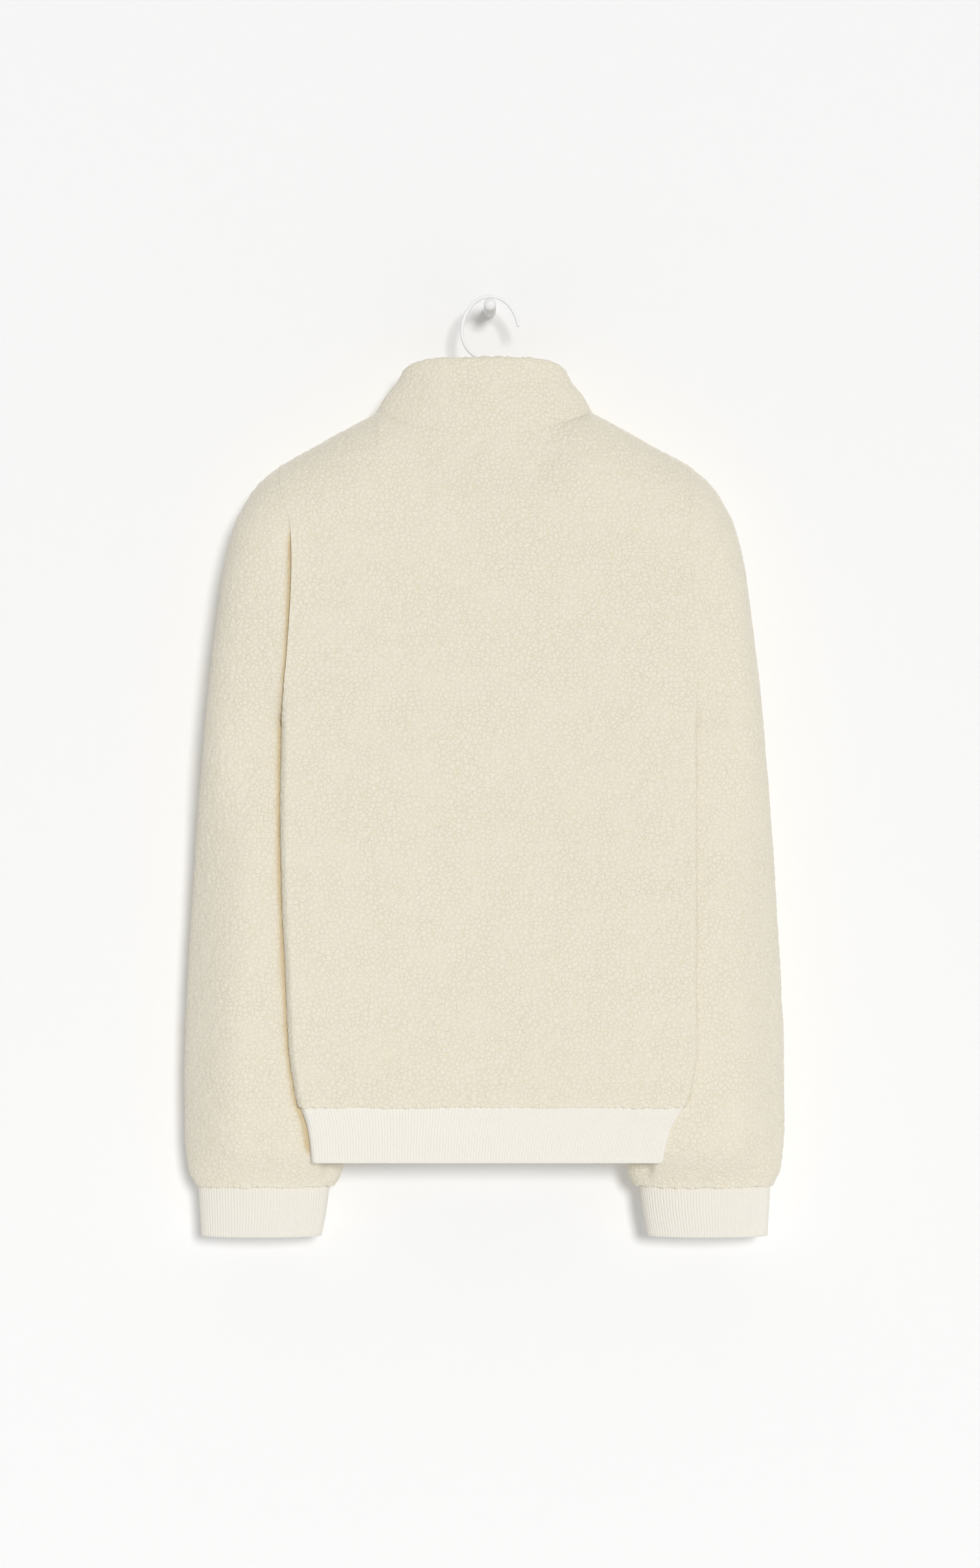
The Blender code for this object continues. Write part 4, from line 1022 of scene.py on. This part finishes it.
# Materials
class Finish:
    """A material whose nodes are added one after another."""

    def __init__(self, name, colour, roughness, **sockets):
        self.material = bpy.data.materials.new(name)
        self.material.use_nodes = True
        self.tree = self.material.node_tree
        self.shader = self.tree.nodes["Principled BSDF"]
        self.shader.inputs["Base Color"].default_value = (*colour, 1)
        self.shader.inputs["Roughness"].default_value = roughness
        for socket, value in sockets.items():
            self.shader.inputs[socket.replace("_", " ")].default_value = value

    def add(self, kind, links=None, inputs=None, **settings):
        node = self.tree.nodes.new(kind)
        for key, value in settings.items():
            setattr(node, key, value)
        for key, value in (inputs or {}).items():
            node.inputs[key].default_value = value
        for key, source in (links or {}).items():
            self.tree.links.new(source, node.inputs[key])
        return node

    def place(self):
        return self.add("ShaderNodeTexCoord").outputs["Object"]

    def noise(self, scale, detail, source=None, roughness=0.5, output="Fac"):
        node = self.add("ShaderNodeTexNoise", {"Vector": source or self.place()})
        node.inputs["Scale"].default_value = scale
        node.inputs["Detail"].default_value = detail
        node.inputs["Roughness"].default_value = roughness
        return node.outputs[output]

    def math(self, operation, first, second):
        node = self.add("ShaderNodeMath", operation=operation)
        for index, value in enumerate((first, second)):
            if isinstance(value, (int, float)):
                node.inputs[index].default_value = value
            else:
                self.tree.links.new(value, node.inputs[index])
        return node.outputs[0]

    def range(self, value, low, high, to_low, to_high):
        node = self.add("ShaderNodeMapRange", {"Value": value}, interpolation_type="SMOOTHSTEP")
        ends = {"From Min": low, "From Max": high, "To Min": to_low, "To Max": to_high}
        for key, number in ends.items():
            node.inputs[key].default_value = number
        return node.outputs["Result"]

    def blend(self, factor, first, second):
        node = self.add("ShaderNodeMix", data_type="RGBA")
        for index, value in ((0, factor), (6, first), (7, second)):
            if isinstance(value, bpy.types.NodeSocket):
                self.tree.links.new(value, node.inputs[index])
            else:
                node.inputs[index].default_value = value if index == 0 else (*value, 1)
        return node.outputs[2]

    def colour(self, socket):
        self.tree.links.new(socket, self.shader.inputs["Base Color"])

    def roughness(self, socket):
        self.tree.links.new(socket, self.shader.inputs["Roughness"])

    def bump(self, height, distance, strength):
        size = {"Distance": distance, "Strength": strength}
        node = self.add("ShaderNodeBump", {"Height": height}, size)
        self.tree.links.new(node.outputs["Normal"], self.shader.inputs["Normal"])


CURLS_A_METRE = 235.0
WARP_REACH = 0.0036
CREAMS = ((0.790, 0.735, 0.613), (0.782, 0.726, 0.602))
# The tan painted as the shade in the groove beside the body's edge
GROOVE_SHADE_TAN = (0.64, 0.515, 0.32)
# The darker yellow painted as the shade in the creases between curls
CREASE_SHADE_COLOUR = (0.70, 0.65, 0.43)


def sherpa_finish():
    """Curly pile: curls with thin, partly broken creases painted darker and yellower as the shade in
    them, and fine fibres. A tan shade is painted in the groove beside the body's edge.
    """
    look = Finish("sherpa_pile", (0.80, 0.745, 0.615), 0.95, Sheen_Weight=0.25, Sheen_Roughness=0.6)
    place = look.place()
    warp = look.noise(190.0, 3.0, place, 0.55, "Color")
    vector = "ShaderNodeVectorMath"
    moved = look.add(vector, {0: warp}, {1: (0.5, 0.5, 0.5)}, operation="SUBTRACT").outputs[0]
    scaled = look.add(vector, {0: moved}, {3: WARP_REACH}, operation="SCALE").outputs[0]
    bent = look.add(vector, {0: place, 1: scaled}, operation="ADD").outputs[0]
    domes, cells = (
        look.add("ShaderNodeTexVoronoi", {"Vector": bent}, {"Scale": CURLS_A_METRE}, feature=feature)
        for feature in ("F1", "DISTANCE_TO_EDGE")
    )
    opening = look.range(look.noise(330.0, 1.0, place), 0.36, 0.66, 0.035, 0.13)
    crease = look.range(look.math("DIVIDE", cells.outputs["Distance"], opening), 0.0, 1.0, 1.0, 0.0)
    patches = look.range(look.noise(34.0, 2.0, place), 0.34, 0.60, 0.7, 1.0)
    line = look.math("MULTIPLY", crease, patches)
    cream = look.blend(look.noise(9.0, 3.0, place), *CREAMS)
    # Below the seams' level the pile attribute marks the groove beside the body's edge, which is painted
    # in a tan shade
    deep = look.add("ShaderNodeAttribute", attribute_name="pile").outputs["Fac"]
    base = look.blend(look.range(deep, -0.0034, -0.0003, 1.0, 0.0), cream, GROOVE_SHADE_TAN)
    # Painted shade: the creases between curls are blended to a darker yellow
    look.colour(look.blend(look.math("MULTIPLY", line, 0.52), base, CREASE_SHADE_COLOUR))
    dome = look.range(domes.outputs["Distance"], 0.0, 0.8, 1.0, 0.0)
    fibre = look.noise(1400.0, 3.0, place, 0.65)
    height = look.math("ADD", look.math("MULTIPLY", dome, 0.6), look.math("MULTIPLY", line, -0.3))
    look.bump(look.math("ADD", height, look.math("MULTIPLY", fibre, 0.25)), 0.0009, 0.7)
    return look.material


def rib_finish(name, light, dark):
    """Rib knit: rows of small stitches down each rib, with a slight change of tone."""
    look = Finish(name, light, 0.85, Sheen_Weight=0.15, Sheen_Roughness=0.5)
    place = look.place()
    turned = look.add("ShaderNodeMapping", {"Vector": place}, {"Scale": (0.0, 0.0, 760.0)})
    stitches = {"Scale": 0.318, "Distortion": 0.6}
    rows = look.add("ShaderNodeTexWave", {"Vector": turned.outputs[0]}, stitches, bands_direction="Z")
    yarn = look.math("MULTIPLY", look.noise(1800.0, 2.0, place), 0.5)
    look.colour(look.blend(look.noise(60.0, 2.0, place), light, dark))
    look.bump(look.math("ADD", look.math("MULTIPLY", rows.outputs["Fac"], 0.5), yarn), 0.0003, 0.6)
    return look.material


def tape_finish():
    """Woven tape: a fine herringbone of two crossed waves."""
    look = Finish("woven_tape", (0.80, 0.755, 0.64), 0.8)
    place = look.place()
    crossing = {"Scale": 420.0, "Distortion": 1.5}
    weave = look.add("ShaderNodeTexWave", {"Vector": place}, crossing, bands_direction="DIAGONAL")
    look.colour(look.blend(weave.outputs["Fac"], (0.78, 0.73, 0.61), (0.83, 0.785, 0.67)))
    look.bump(weave.outputs["Fac"], 0.0002, 0.5)
    return look.material


def moulded_finish(name, colour, roughness, grain, depth=0.00005):
    """Smooth moulding with a very slight grain in its surface and its gloss."""
    look = Finish(name, colour, roughness)
    grains = look.noise(grain, 3.0)
    look.roughness(look.range(grains, 0.3, 0.7, roughness - 0.05, roughness + 0.08))
    look.bump(grains, depth, 0.4)
    return look.material


def steel_finish():
    """Plated metal with fine rub marks along its length."""
    look = Finish("plated_metal", (0.66, 0.65, 0.63), 0.3, Metallic=1.0)
    turned = look.add("ShaderNodeMapping", {"Vector": look.place()}, {"Scale": (4000.0, 4000.0, 300.0)})
    marks = look.noise(1.0, 2.0, turned.outputs[0])
    look.roughness(look.range(marks, 0.3, 0.7, 0.22, 0.42))
    look.bump(marks, 0.00002, 0.3)
    return look.material


# The jacket
sherpa = sherpa_finish()
hem_rib = rib_finish("hem_knit", (0.838, 0.808, 0.740), (0.822, 0.791, 0.721))
# The cuffs' knit is painted a little darker than the hem's: painted shade for how the light falls on the
# cuffs
shaded_cuff_rib = rib_finish("cuff_knit_shaded", (0.812, 0.777, 0.702), (0.790, 0.757, 0.683))
tape = tape_finish()
teeth = moulded_finish("moulded_teeth", (0.79, 0.745, 0.63), 0.35, 900.0)
metal = steel_finish()
hanger_white = moulded_finish("hanger_white", (0.86, 0.86, 0.85), 0.35, 500.0)
hook_white = moulded_finish("hook_white", (0.86, 0.86, 0.86), 0.75, 700.0)
peg_white = moulded_finish("peg_white", (0.80, 0.80, 0.795), 0.5, 900.0, 0.0004)

back = make_panel("back", back_grid(), False, sherpa)
fronts = [make_panel(f"front_{side_word(side)}", front_grid(side), True, sherpa) for side in (-1, 1)]
sleeves = [make_sleeve(sherpa, side) for side in (-1, 1)]
collar = make_collar(sherpa)
hem = make_hem(hem_rib)
cuffs = [make_cuff(shaded_cuff_rib, side) for side in (-1, 1)]
make_teeth(teeth)
hanger = tube("hanger_moulded", hanger_path(), HANGER_RADIUS, around=24)
finish_piece(hanger, hanger_white, "hanger")
hook = tube("hook_wire", hook_path(), WIRE_RADIUS, around=16)
finish_piece(hook, hook_white, "hook")
make_peg(peg_white)
kept = {"zip_tape_left": tape, "zip_tape_right": tape, "zip_slider": metal, "zip_pull": metal}
for node, material in kept.items():
    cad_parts[node].data.materials.clear()
    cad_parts[node].data.materials.append(material)


# The wall, the floor, the light and the camera
FLOOR_Z = -1.65
WALL_Y = 0.0004


def rectangle(half, low, high):
    return ((-half, low), (half, low), (half, high), (-half, high))


def stage_plane(name, corners, colour):
    mesh = bpy.data.meshes.new(name)
    mesh.from_pydata(corners, [], [(0, 1, 2, 3)])
    plane = add_object(name, mesh)
    look = Finish(name, colour, 0.9)
    look.shader.inputs["Specular IOR Level"].default_value = 0.1
    mesh.materials.append(look.material)
    return plane, look


upright = [(x, WALL_Y, z) for x, z in rectangle(6, FLOOR_Z, 5)]
wall, look = stage_plane("wall", upright, (0.865, 0.865, 0.865))
behind = look.add("ShaderNodeNewGeometry").outputs["Backfacing"]
clear = look.add("ShaderNodeBsdfTransparent").outputs[0]
either = look.add("ShaderNodeMixShader", {0: behind, 1: look.shader.outputs[0], 2: clear})
look.tree.links.new(either.outputs[0], look.tree.nodes["Material Output"].inputs["Surface"])
wall.visible_shadow = False
stage_plane("floor", [(x, y, FLOOR_Z) for x, y in rectangle(8, -8, 8)], (0.82, 0.82, 0.81))


def sun(name, strength, angle, azimuth, elevation):
    """A broad even light. Azimuth 0 comes from the camera's side, 90 from the right."""
    data = bpy.data.lights.new(name, "SUN")
    data.energy = strength
    data.angle = math.radians(angle)
    lamp = add_object(name, data)
    lamp.rotation_euler = (math.radians(90 - elevation), 0, math.radians(azimuth))


sun("key_light", strength=1.80, angle=11, azimuth=10, elevation=9)
sun("back_light", strength=1.3, angle=40, azimuth=180, elevation=25)

world = bpy.data.worlds.new("studio")
world.use_nodes = True
sky = world.node_tree.nodes["Background"]
sky.inputs["Color"].default_value = (1, 1, 1, 1)
sky.inputs["Strength"].default_value = 0.42
bpy.context.scene.world = world

camera = add_object("camera", bpy.data.cameras.new("camera"))
camera.location = (0, -4.1, -0.426)
camera.rotation_euler = (math.radians(90), 0, 0)
camera.data.sensor_width = 36
camera.data.lens = 104.4
bpy.context.scene.camera = camera
bpy.context.scene.view_settings.view_transform = "Standard"
